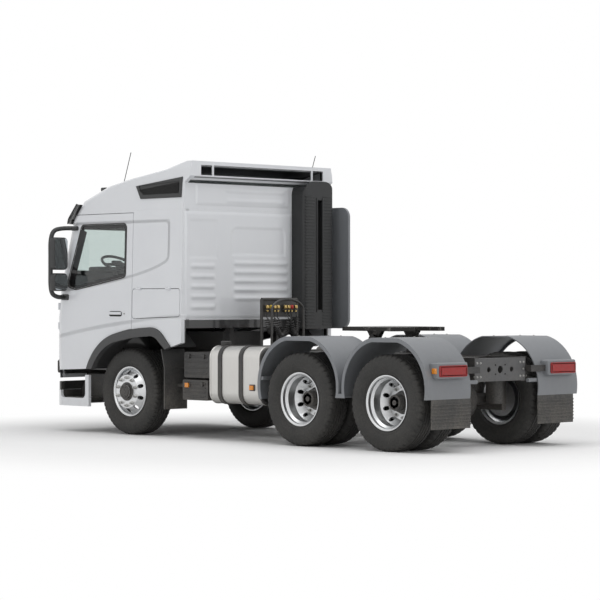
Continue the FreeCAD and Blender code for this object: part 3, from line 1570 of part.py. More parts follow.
def cab_shell(skin, inner, hinge_sets):
    """The cab's welded shell below the roof seam: side walls, back wall, floor, firewall and pillars."""
    gap = size.panel_gap
    low = size.skirt_height - far
    sides = (-half_cab - far, half_cab + far)
    whole_walls = common("shell_walls", skin, block("shell_zone", (cab_rear - far, cab_front + far), sides,
                                                    (low, size.seam_height)))
    foot = fore(size.door_foot_front)
    nose = block("nose_tool", (foot, cab_front + far), sides, (low, size.lid_bottom - gap))
    walls = cut("shell_walls_open", whole_walls, [nose])
    middle = half_cab - size.wall
    front = (fore(size.firewall_front) - size.firewall_wall, fore(size.firewall_front))
    floor = block("cab_floor", (cab_rear + size.wall / 2, front[1]), (-middle, middle), (floor_low, size.floor_top))
    inside = size.lid_half_width + size.door_reach
    firewall = block("cab_firewall", front, (-inside, inside), (size.cab_front_bottom + size.wall, size.cowl_height))
    cowl_low = size.cowl_height - size.firewall_wall
    cowl = common("cowl", prism("cowl_plan", "XY", station_outline("belt", -size.wall / 2), cowl_low,
                                size.cowl_height),
                  block("cowl_zone", (front[0], cab_front), (-inside, inside), (cowl_low, size.cowl_height)))
    whole = joined("shell_whole", [walls, floor, firewall, cowl])
    under = [
        (foot + gap, low), (foot + gap, size.door_bottom),
    ] + arch_curve(size.seat_gap) + [(cab_rear - far, size.side_bottom), (cab_rear - far, low)]
    slots = block("tilt_slot", (front[0] - far, cab_front), (size.tilt_slot_inner, size.tilt_slot_outer),
                  (low, size.tilt_slot_top))
    tools = [
        prism("under_tool", "XZ", under, *sides), slots, mirrored("tilt_slot_right", slots),
        block("back_wall_tool", (cab_rear - far, cab_rear + size.wall), (-middle + size.wall / 2, middle - size.wall / 2),
              (low, floor_low)),
        prism("lid_tool", "YZ", lid_outline(gap), front[1] + gap, cab_front + far),
        prism("screen_tool", "YZ", screen_outline(NONE), fore(size.door_pillar_back) - size.wall, cab_front + far),
    ]
    tools += both_walls("door_tool", door_outline(gap), size.door_reach)
    tools += both_walls("locker_tool", locker_outline(gap), size.wall + gap * 2)
    hinges = [barrel for hinge in hinge_sets for barrel in hinge.fixed]
    tools += [room for hinge in hinge_sets for room in hinge.fixed_room]
    opened = cut("shell_opened", whole, tools)
    keep("cab_shell", joined("cab_shell", [opened] + hinges + shell_fittings(inner, front)))


def shell_fittings(inner, front):
    """What hangs under the shell: ribs behind the lower front, tilt legs and the walls beside the steps."""
    low = size.cab_front_bottom + size.wall
    half_rib = size.front_rib_width / 2
    high = size.lid_bottom - size.panel_gap * 2
    rib = block("front_rib_block", (front[0], cab_front),
                (size.grille_half_width - half_rib, size.grille_half_width + half_rib), (low, high))
    pieces = [common("front_rib", inner, rib)]
    tilt_x = fore(size.front_overhang - size.tilt_back)
    half_leg = size.tilt_leg_length / 2
    leg_y = (rail_outer + size.panel_gap, rail_outer + size.panel_gap + size.tilt_leg_wall)
    leg = joined("tilt_leg_whole", [
        block("tilt_leg", (front[0], tilt_x + half_leg), leg_y, (size.tilt_height, size.tilt_slot_top + size.overrun)),
        rod("tilt_leg_eye", "Y", half_leg, *leg_y, tilt_x, size.tilt_height),
    ])
    bore = rod("tilt_bore", "Y", size.tilt_pin_diameter / 2 + size.bush_gap, rail_inner, half_cab, tilt_x,
               size.tilt_height)
    pieces.append(cut("tilt_leg_bored", leg, [bore]))
    pieces.append(block("entry_wall", (fore(size.entry_wall_place), front[0]),
                        (size.entry_wall_inner, size.entry_wall_inner + size.firewall_wall),
                        (size.door_bottom, floor_low)))
    twins = [mirrored(f"{piece.Name}_twin", piece) for piece in pieces]
    return pieces + twins


def roof_cap(outer, inner):
    """The high roof above the seam, hollow over the cab, with a slot across its back for the wind."""
    sides = (-half_cab - far, half_cab + far)
    back = fore(-size.cab_back - size.peak_overhang)
    whole = common("roof_whole", outer, block("roof_zone", (back - far, cab_front + far), sides,
                                              (size.seam_height + size.seat_gap, size.peak_height + far)))
    room = common("roof_room", inner, block("roof_room_zone", (back - far, cab_front + far), sides,
                                            (size.seam_height - far, size.roof_ceiling)))
    cavity = common("slot_cavity", inner, block("slot_zone", (back, back + size.slot_depth), sides,
                                                (size.slot_bottom, size.peak_height)))
    mouth = block("slot_mouth", (back - far, back + far), (-size.slot_half_width, size.slot_half_width),
                  (size.slot_bottom, size.slot_top))
    vents = both_walls("vent_tool", vent_outline(NONE), far + size.wall)
    opened = cut("roof_opened", cut("roof_hollow", whole, [room]), [cavity, mouth])
    vented = cut("roof_vented", opened, vents)
    struts = []
    for side in (1, -1):
        y = size.strut_place * side
        struts.append(block(f"slot_strut_{side}", (back, back + size.wall / 2),
                            (y - size.strut_width / 2, y + size.strut_width / 2),
                            (size.slot_bottom - size.running_gap, size.slot_top + size.running_gap)))
    keep("roof_cap", joined("roof_cap", [vented] + struts))


def roof_fittings(outer, inner, proud):
    """Dark plastic on the roof: both side vents with their recessed meshes, and two whip antennas."""
    plate = cut("vent_slab", proud, [inner])
    vent = common("vent_left", plate, side_prism("vent_zone", vent_outline(-size.seat_gap), far + size.wall))
    recess = cut("vent_recess", side_prism("vent_recess_zone", vent_outline(-size.vent_frame), far + size.wall),
                 [outer])
    framed = cut("vent_framed", vent, [recess])
    pieces = [framed, mirrored("vent_right", framed)]
    places = (
        ("front", size.antenna_front_place, size.antenna_front_length, size.antenna_side, size.forehead_height),
        ("back", -size.antenna_back_place, size.antenna_back_length, -size.antenna_side, size.crest_height),
    )
    for name, place, length, y, height in places:
        whip = rod(f"antenna_{name}", "Z", size.antenna_diameter / 2, NONE, length, NONE, NONE)
        whip.Placement = Placement(Vector(0, 0, 0), Rotation(Vector(0, 1, 0), -size.antenna_lean.number))
        move(whip, fore(place), y, height)
        pieces.append(cut(f"antenna_{name}_fitted", whip, [outer]))
    keep("roof_fittings", grouped("roof_fittings", pieces))


def sun_visor(outer):
    """A curved visor that stands off the top of the windscreen on three brackets."""
    low, high = size.visor_bottom, size.visor_top
    front = cab_front + far
    zone = prism("visor_zone", "XZ", [(fore(size.visor_back_bottom), low), (front, low), (front, high),
                                      (fore(size.visor_back_top), high)], -half_cab - far, half_cab + far)
    outside = common("visor_whole", cab_form("form_visor", size.visor_gap + size.visor_wall), zone)
    half = size.visor_bracket / 2
    holes = []
    for index, y in enumerate((-size.visor_bracket_spacing, NONE, size.visor_bracket_spacing)):
        holes.append(block(f"visor_bracket_{index}", (fore(size.visor_back_top), front), (y - half, y + half),
                           (high - size.visor_bracket, high)))
    inside = cut("visor_inside", cab_form("form_visor_inside", size.visor_gap), holes)
    keep("sun_visor", cut("sun_visor", cut("visor_sheet", outside, [inside]), [outer]))


def glass(pane):
    """The windscreen and both door windows, each a thin layer set into its opening."""
    screen = prism("screen_zone", "YZ", screen_outline(-size.seat_gap), fore(size.door_pillar_back), cab_front + far)
    keep("windscreen", common("windscreen", pane, screen))
    left = common("glass_left", pane, side_prism("glass_zone", window_outline(-size.seat_gap), size.door_reach))
    keep("door_glass_left", left)
    keep("door_glass_right", mirrored("door_glass_right", left))


def doors(skin, hinge):
    """Both doors: the wall inside the door's edge, less the window."""
    whole = common("door_whole", skin, side_prism("door_zone", door_outline(NONE), size.door_reach))
    pierced = cut("door_pierced", whole, [side_prism("window_tool", window_outline(NONE), size.door_reach + far)])
    left = hung("door_left", pierced, hinge)
    keep("door_left", left)
    keep("door_right", mirrored("door_right", left))


def lids(skin, lid_hinge, locker_hinge):
    """The front lid and both side lockers, each cut from the cab's wall."""
    lid = common("lid_whole", skin, prism("lid_zone", "YZ", lid_outline(NONE),
                                          fore(size.firewall_front) + size.seat_gap, cab_front + far))
    keep("front_lid", hung("front_lid", lid, lid_hinge))
    panel = common("locker_whole", skin, side_prism("locker_zone", locker_outline(NONE),
                                                    size.wall + size.panel_gap * 2))
    left = hung("locker_left", panel, locker_hinge)
    keep("locker_left", left)
    keep("locker_right", mirrored("locker_right", left))


def lower_front(skin, depth_form):
    """The lower front: grille between two corner panels with their headlamps, and the posts behind them."""
    low, high = size.cab_front_bottom, size.lid_bottom - size.panel_gap * 2
    half = size.grille_half_width
    side = half_cab + far
    front = (fore(size.corner_rear), cab_front + far)
    slab = common("grille_slab", skin, block("grille_zone", front, (size.seat_gap - half, half - size.seat_gap),
                                             (low, high)))
    slots = []
    count = int(size.grille_slot_count.number)
    for index in range(count):
        z = low + size.grille_margin + (size.grille_bar + size.grille_slot) * index
        slots.append(block(f"grille_slot_{index}", front, (size.grille_margin - half, half - size.grille_margin),
                           (z, z + size.grille_slot)))
    keep("grille", cut("grille", slab, [cut("grille_slots", joined("grille_slot_set", slots), [depth_form])]))
    corner = common("corner_slab", skin, block("corner_zone", front, (half, side), (low, high)))
    lamp_zone = prism("lamp_zone", "YZ", lamp_outline(NONE), front[0] + size.post_width / 2, front[1])
    keep("front_corners", both_sides("front_corners", cut("corner_left", corner, [lamp_zone])))
    lamp_core = prism("lamp_core", "YZ", lamp_outline(-size.seat_gap), front[0] + size.post_width / 2 + size.seat_gap,
                      front[1])
    keep("headlamps", both_sides("headlamps", common("lamp_left", skin, lamp_core)))
    post = common("post_slab", skin, block("post_zone", (fore(size.door_front) + size.panel_gap, front[0]),
                                           (half, side), (size.door_bottom, high)))
    keep("front_posts", both_sides("front_posts", common("post_left", post, depth_form)))


def front_arches():
    """The wheel arch trims on the cab's sides, with the liners over the wheels."""
    trim_y = (half_cab - size.wall, half_cab + size.arch_trim_proud)
    trim = prism("arch_trim", "XZ", arch_curve(NONE) + turned_back(arch_curve(-size.arch_trim_width)), *trim_y)
    liner = prism("arch_liner", "XZ", arch_curve(NONE) + turned_back(arch_curve(-size.arch_liner_wall)),
                  size.arch_liner_inner, trim_y[1])
    keep("front_arches", both_sides("front_arches", joined("arch_left", [trim, liner])))


def cab_rear_pieces():
    """The intake duct and the right side deflector on the cab's back."""
    radius = size.duct_rounding
    back = cab_rear - size.duct_depth
    inner, outer = -size.duct_inner, -size.duct_outer
    low, high, arch = size.duct_bottom, size.duct_top, size.duct_arch_radius
    plan = prism("duct_plan", "XY", [(back, outer, radius), (cab_rear, outer), (cab_rear, inner),
                                     (back, inner, radius)], low, high)
    elevation = prism("duct_elevation", "YZ", [(outer, low), (inner, low), (inner, high, arch), (outer, high, arch)],
                      back - far, cab_rear + far)
    duct = common("duct_whole", plan, elevation)
    middle = (inner + outer) / 2
    slot = block("duct_slot", (back - far, back + size.duct_slot_depth),
                 (middle - size.duct_slot_width / 2, middle + size.duct_slot_width / 2),
                 (low + size.duct_slot_margin, high - size.duct_slot_margin))
    roof_back = cab_rear - size.peak_overhang - far
    clear = block("duct_roof_clearance", (roof_back, cab_rear), (outer - far, inner + far),
                  (size.forehead_height, high + far))
    keep("intake_duct", cut("intake_duct", duct, [slot, clear]))
    end = cab_rear - size.deflector_depth
    side = size.header_inset - half_cab
    deflector = prism("side_deflector", "XZ", [
        (end, size.deflector_bottom, size.deflector_rounding), (cab_rear, size.deflector_bottom),
        (cab_rear, size.deflector_top), (end, size.deflector_top, size.deflector_rounding),
    ], side, side + size.deflector_wall)
    keep("side_deflector", deflector)


def interior():
    """The dashboard with the steering wheel, two seats, and the bunk behind them."""
    fire_back = fore(size.firewall_front) - size.firewall_wall
    slope = size.dash_slope
    back = fore(size.dash_back)
    dash = prism("dash_body", "XZ", [
        (back, size.dash_bottom + slope * 2), (fore(size.dash_knee), size.dash_bottom),
        (fire_back, size.dash_bottom), (fire_back, size.screen_bottom), (fire_back - slope, size.dash_top),
        (back + slope, size.dash_top)], size.dash_side_gap - size.dash_half_width,
        size.dash_half_width - size.dash_side_gap)
    place = (fore(size.wheel_place), size.wheel_side, size.wheel_height)
    ring = doc.addObject("Part::Torus", "steering_ring")
    bind(ring, "Radius1", size.wheel_ring_radius)
    bind(ring, "Radius2", size.wheel_ring_tube)
    column = rod("steering_column", "Z", size.column_diameter / 2, NONE, size.column_length, NONE, NONE)
    for item, angle in ((ring, -size.wheel_lean.number), (column, 180 - size.wheel_lean.number)):
        item.Placement = Placement(Vector(0, 0, 0), Rotation(Vector(0, 1, 0), angle))
        move(item, *place)
    spokes = rod("steering_spokes", "Y", size.wheel_ring_tube, size.wheel_side - size.wheel_ring_radius,
                 size.wheel_side + size.wheel_ring_radius, place[0], place[2])
    keep("dashboard", joined("dashboard", [dash, ring, column, spokes]))
    front, rear = fore(size.seat_front), fore(size.seat_back)
    lean = size.seat_rest_lean
    rest = size.seat_rest_wall
    y = (size.seat_inner, size.seat_outer)
    round_by = rest / 3
    cushion = prism("seat_cushion", "XZ", [
        (rear, size.seat_base - size.seat_pad, round_by), (front, size.seat_base - size.seat_pad, round_by),
        (front, size.seat_base, round_by), (rear, size.seat_base, round_by)], *y)
    backrest = prism("seat_rest", "XZ", [
        (rear, size.seat_base - size.seat_pad, round_by), (rear + rest, size.seat_base - size.seat_pad, round_by),
        (rear + rest - lean, size.seat_rest_top, round_by), (rear - lean, size.seat_rest_top, round_by)], *y)
    foot_x = (rear + rest, rear + rest + size.seat_foot_half * 2)
    seat_y = (y[0] + y[1]) / 2
    foot = block("seat_foot", foot_x, (seat_y - size.seat_foot_half, seat_y + size.seat_foot_half),
                 (size.floor_top, size.seat_base - size.seat_pad))
    keep("seats", both_sides("seats", joined("seat_left", [cushion, backrest, foot])))
    bunk_x = (cab_rear + size.wall, fore(-size.bunk_front))
    bunk_y = (-size.bunk_half_width, size.bunk_half_width)
    mattress = prism("bunk_pad_body", "XZ", [
        (bunk_x[0], size.bunk_bottom), (bunk_x[1], size.bunk_bottom), (bunk_x[1], size.bunk_bottom + size.bunk_pad,
                                                                       round_by),
        (bunk_x[0], size.bunk_bottom + size.bunk_pad, round_by)], *bunk_y)
    board = block("bunk_board", (bunk_x[1] - size.bunk_board, bunk_x[1]), bunk_y, (size.floor_top, size.bunk_bottom))
    keep("bunk", joined("bunk", [mattress, board]))


def mirrors(outer):
    """Mirrors on a bowed arm at each door's front edge, a tall head over a low one."""
    x = fore(size.mirror_back)
    y = half_cab + size.mirror_reach - size.mirror_head_width / 2
    radius = size.mirror_arm_diameter / 2
    ends = ((size.mirror_arm_top, size.mirror_foot), (size.mirror_arm_bottom, size.mirror_low_foot))
    pieces = [rod("mirror_bar", "Z", radius, size.mirror_arm_bottom, size.mirror_arm_top, x, y)]
    for index, (height, foot) in enumerate(ends):
        ahead = (x, fore(foot)) if foot.number > size.mirror_back.number else (fore(foot), x)
        pieces.append(rod(f"mirror_leg_{index}", "Y", radius, half_cab - far, y, fore(foot), height))
        pieces.append(rod(f"mirror_link_{index}", "X", radius, *ahead, y, height))
    round_by = size.mirror_rounding
    half = size.mirror_head_width / 2
    for name, low, high in (("main", size.mirror_main_bottom, size.mirror_main_top),
                            ("low", size.mirror_low_bottom, size.mirror_low_top)):
        pieces.append(prism(f"mirror_{name}", "XY", [
            (x - size.mirror_head_depth, y - half), (x, y - half, round_by), (x, y + half, round_by),
            (x - size.mirror_head_depth, y + half)], low, high))
    left = cut("mirrors_left", joined("mirrors_whole", pieces), [outer])
    keep("mirrors_left", left)
    keep("mirrors_right", mirrored("mirrors_right", left))


def cab():
    """Everything that tilts with the cab."""
    outer = cab_form("form_outer", NONE)
    inner = cab_form("form_inner", -size.wall)
    proud = cab_form("form_proud", size.vent_proud)
    glass_outside = cab_form("form_glass", -size.glass_depth)
    glass_inside = cab_form("form_glass_inside", -size.glass_depth - size.glass_wall)
    skin = cut("cab_skin", outer, [inner])
    pane = cut("cab_pane", glass_outside, [glass_inside])
    gap = size.panel_gap
    door_hinge = hinge_barrels("door_hinge", "Z", fore(size.door_hinge_front), size.door_hinge_side,
                               (size.door_hinge_low, size.door_hinge_high))
    lid_place = (fore(size.lid_hinge_front), size.lid_top + gap / 2)
    lid_hinge = hinge_barrels("lid_hinge", "Y", *lid_place, (size.lid_hinge_side, -size.lid_hinge_side))
    locker_hinge = hinge_barrels("locker_hinge", "X", size.locker_hinge_side, size.locker_top + gap / 2,
                                 (fore(-size.locker_back + size.locker_hinge_inset),
                                  fore(-size.locker_front - size.locker_hinge_inset)))
    hinge_sets = [door_hinge, hinge_twin(door_hinge, "door_hinge_twin"), lid_hinge, locker_hinge,
                  hinge_twin(locker_hinge, "locker_hinge_twin")]
    cab_shell(skin, inner, hinge_sets)
    roof_cap(outer, inner)
    roof_fittings(outer, inner, proud)
    sun_visor(outer)
    glass(pane)
    doors(skin, door_hinge)
    lids(skin, lid_hinge, locker_hinge)
    lower_front(skin, glass_inside)
    front_arches()
    cab_rear_pieces()
    interior()
    mirrors(outer)


def build():
    """Makes every sub-part."""
    for label, side in (("left", 1), ("right", -1)):
        front_wheel(label, side)
        knuckle(label, side)
        for axle in (1, 2):
            twin_wheel(axle, label, side)
    frame()
    tail_member()
    engine()
    front_axle()
    driveline()
    side_boxes()
    exhaust_box()
    front_flaps()
    rear_fenders()
    rear_flaps()
    lamps()
    deck()
    fifth_wheel()
    entry_steps(bumper())
    cab()


def export():
    """Recomputes, checks every feature and writes one file for each sub-part."""
    doc.recompute()
    failed = [item.Name for item in doc.Objects if {"Invalid", "Error"} & set(item.State)]
    if failed:
        raise RuntimeError(f"failed features: {failed}")
    os.makedirs("parts", exist_ok=True)
    for name, feature in nodes.items():
        shape = feature.Shape
        if shape.isNull() or not shape.isValid() or not shape.Solids:
            raise RuntimeError(f"bad shape: {name}")
        shape.exportStep(f"parts/{name}.step")
        print(name, len(shape.Solids), round(shape.Volume / 1e6, 1), "litres")


build()
export()
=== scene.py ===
import bisect
import math

import bmesh
import bpy
from mathutils import Matrix, Vector
from mathutils.bvhtree import BVHTree

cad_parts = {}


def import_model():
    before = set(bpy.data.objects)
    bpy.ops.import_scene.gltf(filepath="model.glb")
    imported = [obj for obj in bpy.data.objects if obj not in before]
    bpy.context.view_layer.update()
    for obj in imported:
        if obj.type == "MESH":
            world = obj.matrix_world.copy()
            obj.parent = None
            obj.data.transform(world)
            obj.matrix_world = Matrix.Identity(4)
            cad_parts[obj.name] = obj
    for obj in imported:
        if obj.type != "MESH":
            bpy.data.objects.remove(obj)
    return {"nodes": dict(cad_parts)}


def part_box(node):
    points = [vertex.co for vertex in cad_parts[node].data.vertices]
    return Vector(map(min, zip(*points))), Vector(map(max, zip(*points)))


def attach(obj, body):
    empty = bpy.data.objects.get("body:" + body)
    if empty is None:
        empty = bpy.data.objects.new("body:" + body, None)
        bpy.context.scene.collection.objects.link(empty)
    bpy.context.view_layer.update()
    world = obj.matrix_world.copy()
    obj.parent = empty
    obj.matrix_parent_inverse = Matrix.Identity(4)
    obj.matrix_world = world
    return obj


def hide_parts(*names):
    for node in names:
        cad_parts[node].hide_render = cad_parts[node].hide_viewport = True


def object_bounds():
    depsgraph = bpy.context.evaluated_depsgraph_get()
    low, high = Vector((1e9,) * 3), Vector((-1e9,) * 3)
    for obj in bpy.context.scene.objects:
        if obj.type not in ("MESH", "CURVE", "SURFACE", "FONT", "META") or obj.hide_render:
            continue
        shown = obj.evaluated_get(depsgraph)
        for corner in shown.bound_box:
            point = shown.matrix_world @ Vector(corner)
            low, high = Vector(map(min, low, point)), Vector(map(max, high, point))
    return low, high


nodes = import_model()["nodes"]
cad_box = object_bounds()
both_sides = (("left", 1), ("right", -1))

# Frame rails, cross members and running gear
# Pressed steel channels, riveted and bolted, with axles, springs and shafts hung below them.
# All are dipped in satin black chassis paint, which holds a film of road dust lower down.


def join(tree, node, sockets):
    """Sets a shader node's inputs, or joins them where the value is another node's output."""
    for name, value in sockets.items():
        if isinstance(value, bpy.types.NodeSocket):
            tree.links.new(value, node.inputs[name])
        else:
            node.inputs[name].default_value = value


def put(tree, kind, sockets=None, **settings):
    """Adds one shader node, sets or joins its inputs, and gives back its first output."""
    node = tree.nodes.new(f"ShaderNode{kind}")
    for name, value in settings.items():
        setattr(node, name, value)
    join(tree, node, sockets or {})
    return next(out for out in node.outputs if out.enabled)


def calc(tree, operation, *values, **settings):
    """One step of arithmetic on up to three values."""
    return put(tree, "Math", dict(enumerate(values)), operation=operation, **settings)


def ramp(tree, value, start=0.0, end=1.0, low=0.0, high=1.0, **settings):
    """Takes a value from the range start to end over to the range low to high, held at both ends."""
    return put(tree, "MapRange", {"Value": value, "From Min": start, "From Max": end, "To Min": low,
                                  "To Max": high}, **settings)


def blend(tree, share, first, second):
    """A colour that goes from the first to the second as the share rises."""
    return put(tree, "Mix", {0: share, "A": first, "B": second}, data_type="RGBA").node.outputs[2]


def noise(tree, place, scale, detail, roughness=0.5):
    """Cloudy noise."""
    return put(tree, "TexNoise", {"Vector": place, "Scale": scale, "Detail": detail, "Roughness": roughness})


def bump(tree, height, strength=1.0, distance=1.0):
    """The normal of a surface that stands out by a height."""
    return put(tree, "Bump", {"Strength": strength, "Distance": distance, "Height": height})


def place_on_vehicle(tree):
    """The point's own place on the vehicle in metres, whatever the part has swung or turned to."""
    return tree.nodes.new("ShaderNodeTexCoord").outputs["Object"]


def bands(tree, scale, way):
    """Even soft bands that follow one another along an axis of the vehicle."""
    return put(tree, "TexWave", {"Vector": place_on_vehicle(tree), "Scale": scale}, bands_direction=way)


def effect(name, takes, gives):
    """Starts a shared effect: its group, a way to read its inputs, and a way to set its outputs."""
    tree = bpy.data.node_groups.new(name, "ShaderNodeTree")
    kinds = {"colour": "NodeSocketColor", "value": "NodeSocketFloat", "normal": "NodeSocketVector"}
    for label, (kind, value) in takes.items():
        socket = tree.interface.new_socket(label, in_out="INPUT", socket_type=kinds[kind])
        socket.default_value = value
    for label, kind in gives.items():
        tree.interface.new_socket(label, in_out="OUTPUT", socket_type=kinds[kind])
    entry = tree.nodes.new("NodeGroupInput")
    leave = tree.nodes.new("NodeGroupOutput")
    return tree, entry.outputs, lambda label, socket: tree.links.new(socket, leave.inputs[label])


def use_effect(tree, group, values):
    """Places a shared effect in a material with its own values."""
    node = tree.nodes.new("ShaderNodeGroup")
    node.node_tree = group
    join(tree, node, values)
    return node.outputs


def make_road_film():
    """Dust and dried spray: heavier towards the ground, broken up by noise, matt where it lies."""
    tree, take, send = effect(
        "road_film",
        {"Colour": ("colour", (0.5, 0.5, 0.5, 1)), "Dust": ("colour", (0.34, 0.31, 0.27, 1)),
         "Roughness": ("value", 0.4), "Amount": ("value", 0.5), "Reach": ("value", 1.5)},
        {"Colour": "colour", "Roughness": "value", "Mask": "value"})
    place = place_on_vehicle(tree)
    height = put(tree, "SeparateXYZ", {0: place}).node.outputs["Z"]
    low_down = ramp(tree, height, 0.1, take["Reach"], 1.0, 0.0)
    clouds = noise(tree, place, 3.2, 7.0, 0.62)
    specks = noise(tree, place, 46.0, 4.0, 0.7)
    spread = ramp(tree, calc(tree, "MULTIPLY", clouds, specks), 0.12, 0.42)
    mask = calc(tree, "MULTIPLY", low_down, spread)
    mask = calc(tree, "MULTIPLY", mask, take["Amount"], use_clamp=True)
    send("Colour", blend(tree, mask, take["Colour"], take["Dust"]))
    send("Roughness", ramp(tree, mask, low=take["Roughness"], high=0.85))
    send("Mask", mask)
    return tree


def make_skin_grain():
    """Fine relief of a surface: soft waves of paint or casting, and a tight grain over them."""
    tree, take, send = effect(
        "skin_grain",
        {"Wave size": ("value", 60.0), "Wave depth": ("value", 0.0002), "Grain size": ("value", 900.0),
         "Grain depth": ("value", 0.0001)},
        {"Normal": "normal", "Tone": "value"})
    place = place_on_vehicle(tree)
    waves = noise(tree, place, take["Wave size"], 3.0)
    grain = noise(tree, place, take["Grain size"], 2.0)
    deep = calc(tree, "MULTIPLY", waves, take["Wave depth"])
    fine = calc(tree, "MULTIPLY", grain, take["Grain depth"])
    send("Normal", bump(tree, calc(tree, "ADD", deep, fine)))
    send("Tone", waves)
    return tree


road_film = make_road_film()
skin_grain = make_skin_grain()


def add_grain(tree, wave_size, wave_depth=0.0002, grain_size=900.0, grain_depth=0.0001):
    """Uses the surface relief, and gives its outputs."""
    return use_effect(tree, skin_grain, {"Wave size": wave_size, "Wave depth": wave_depth,
                                         "Grain size": grain_size, "Grain depth": grain_depth})


def add_film(tree, shader, colour, rough, amount, reach, dust=(0.34, 0.31, 0.27, 1)):
    """Lays road film over a finish, hands its colour and roughness to the shader, and gives its outputs."""
    film = use_effect(tree, road_film, {"Colour": colour, "Roughness": rough, "Amount": amount,
                                        "Reach": reach, "Dust": dust})
    join(tree, shader, {"Base Color": film["Colour"], "Roughness": film["Roughness"]})
    return film


def start_finish(name, metal=0.0, coat=0.0, sheen=0.0, specular=0.5):
    """A new material with its shader's own plain numbers set."""
    finish = bpy.data.materials.new(name)
    finish.use_nodes = True
    tree = finish.node_tree
    shader = tree.nodes["Principled BSDF"]
    join(tree, shader, {"Metallic": metal, "Coat Weight": coat, "Coat Roughness": 0.06,
                        "Sheen Weight": sheen, "Specular IOR Level": specular})
    return finish, tree, shader


def coated(name, dark, light, grain, film, **plain):
    """A finish that wavers between two colours, with surface relief under road film."""
    finish, tree, shader = start_finish(name, **plain)
    relief = add_grain(tree, *grain)
    add_film(tree, shader, blend(tree, relief["Tone"], dark, light), *film)
    join(tree, shader, {"Normal": relief["Normal"]})
    return finish


def painted(name, colour, rough, metal=0.0, film=0.5, reach=1.5, waves=(60.0, 0.0002),
            grain=(900.0, 0.00004), dust=(0.3, 0.27, 0.23, 1), tone=0.12):
    """A finish of one base colour that varies by a share of itself, with relief and road film."""
    darker = [part * (1 - tone) for part in colour[:3]] + [1]
    lighter = [min(part * (1 + tone), 1) for part in colour[:3]] + [1]
    return coated(name, darker, lighter, (*waves, *grain), (rough, film, reach, dust), metal=metal)


def dress(finish, *names):
    """Gives CAD nodes their finish; their shading stays as imported."""
    for name in names:
        mesh = nodes[name].data
        mesh.materials.clear()
        mesh.materials.append(finish)


chassis_paint = painted("chassis_paint", (0.016, 0.016, 0.017, 1), 0.42, film=0.42, waves=(24.0, 0.0006),
                        grain=(420.0, 0.0002), tone=0.3)
member_paint = painted("member_paint", (0.07, 0.072, 0.076, 1), 0.45, film=0.35, waves=(20.0, 0.0005),
                       grain=(500.0, 0.0001), tone=0.2)
zinc = painted("zinc_plate", (0.36, 0.36, 0.35, 1), 0.36, metal=1.0, film=0.5, waves=(90.0, 0.0002), tone=0.2)
dress(chassis_paint, "frame", "engine_block", "front_axle", "drive_axles", "knuckle_left", "knuckle_right",
      "bumper_beam", "fifth_wheel_mount")
dress(member_paint, "tail_member")


def finish_mesh(name, shape):
    """Closes a bmesh into mesh data with its normals outward."""
    bmesh.ops.recalc_face_normals(shape, faces=shape.faces)
    mesh = bpy.data.meshes.new(name)
    shape.to_mesh(mesh)
    shape.free()
    return mesh


def add_piece(name, mesh, finish, body, smooth=32):
    """Turns mesh data into a piece of the vehicle that moves with a body."""
    piece = bpy.data.objects.new(name, mesh)
    bpy.context.collection.objects.link(piece)
    mesh.materials.append(finish)
    if smooth:
        mesh.shade_smooth()
        mesh.set_sharp_from_angle(angle=math.radians(smooth))
    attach(piece, body)
    return piece


def add_shape(name, shape, finish, body, smooth=32):
    """Turns a bmesh into a piece of the vehicle that moves with a body."""
    return add_piece(name, finish_mesh(name, shape), finish, body, smooth)


def bridge(shape, rows, round_rows=False, round_points=True):
    """Adds the faces between rows of points; rows and points can each run round into a ring."""
    following = rows[1:] + rows[:1] if round_rows else rows[1:]
    for here, there in zip(rows, following):
        count = len(here)
        for index in range(count if round_points else count - 1):
            after = (index + 1) % count
            shape.faces.new((here[index], here[after], there[after], there[index]))


def on_circle(radius, step, steps):
    """A step's two places on a circle: its cosine's and its sine's."""
    angle = 2 * math.pi * step / steps
    return radius * math.cos(angle), radius * math.sin(angle)


def stand_along(way, centre):
    """The turn and move that stand a form up along a given way at a place."""
    turn = Vector(way).to_track_quat("Z", "Y").to_matrix().to_4x4()
    turn.translation = Vector(centre)
    return turn


def bolt_head(shape, centre, way, radius, depth):
    """Adds one washer-faced hexagon head to a mesh, standing out along the given way."""
    turn = stand_along(way, centre)
    washer, hexagon = 1, 0.87
    rings = []
    for flat, size, level in ((washer, 1.25, 0), (washer, 1.25, 0.22), (washer, 1.02, 0.26),
                              (hexagon, 1.0, 0.3), (hexagon, 1.0, 0.88), (hexagon, 0.82, 1.0)):
        ring = []
        for step in range(12):
            reach = radius * size * (flat if step % 2 else 1)
            ring.append(shape.verts.new(turn @ Vector((*on_circle(reach, step, 12), level * depth))))
        rings.append(ring)
    bridge(shape, rings)
    shape.faces.new(rings[-1])


frame_low, frame_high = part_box("frame")
tail_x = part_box("tail_member")[0].x
rail_side, rail_rows = 0.425, (0.79, 0.94)
bolt_pitch, bolt_radius = 0.118, 0.011
rail_bolts, tail_bolts = bmesh.new(), bmesh.new()
for _, side in both_sides:
    for index in range(46):
        x = frame_low.x + 0.08 + index * bolt_pitch
        if x > frame_high.x - 0.35:
            break
        for row, z in enumerate(rail_rows):
            if (index * 7 + row * 3) % 5 < 3:
                bolt_head(rail_bolts, (x, rail_side * side, z), (0, side, 0), bolt_radius, 0.012)
    for y, z in ((0.33, 0.79), (0.33, 0.94), (0.385, 0.79), (0.385, 0.865), (0.385, 0.94)):
        bolt_head(tail_bolts, (tail_x, y * side, z), (-1, 0, 0), bolt_radius, 0.011)
add_shape("rail_bolts", rail_bolts, zinc, "chassis", 20)
add_shape("tail_bolts", tail_bolts, zinc, "chassis", 20)
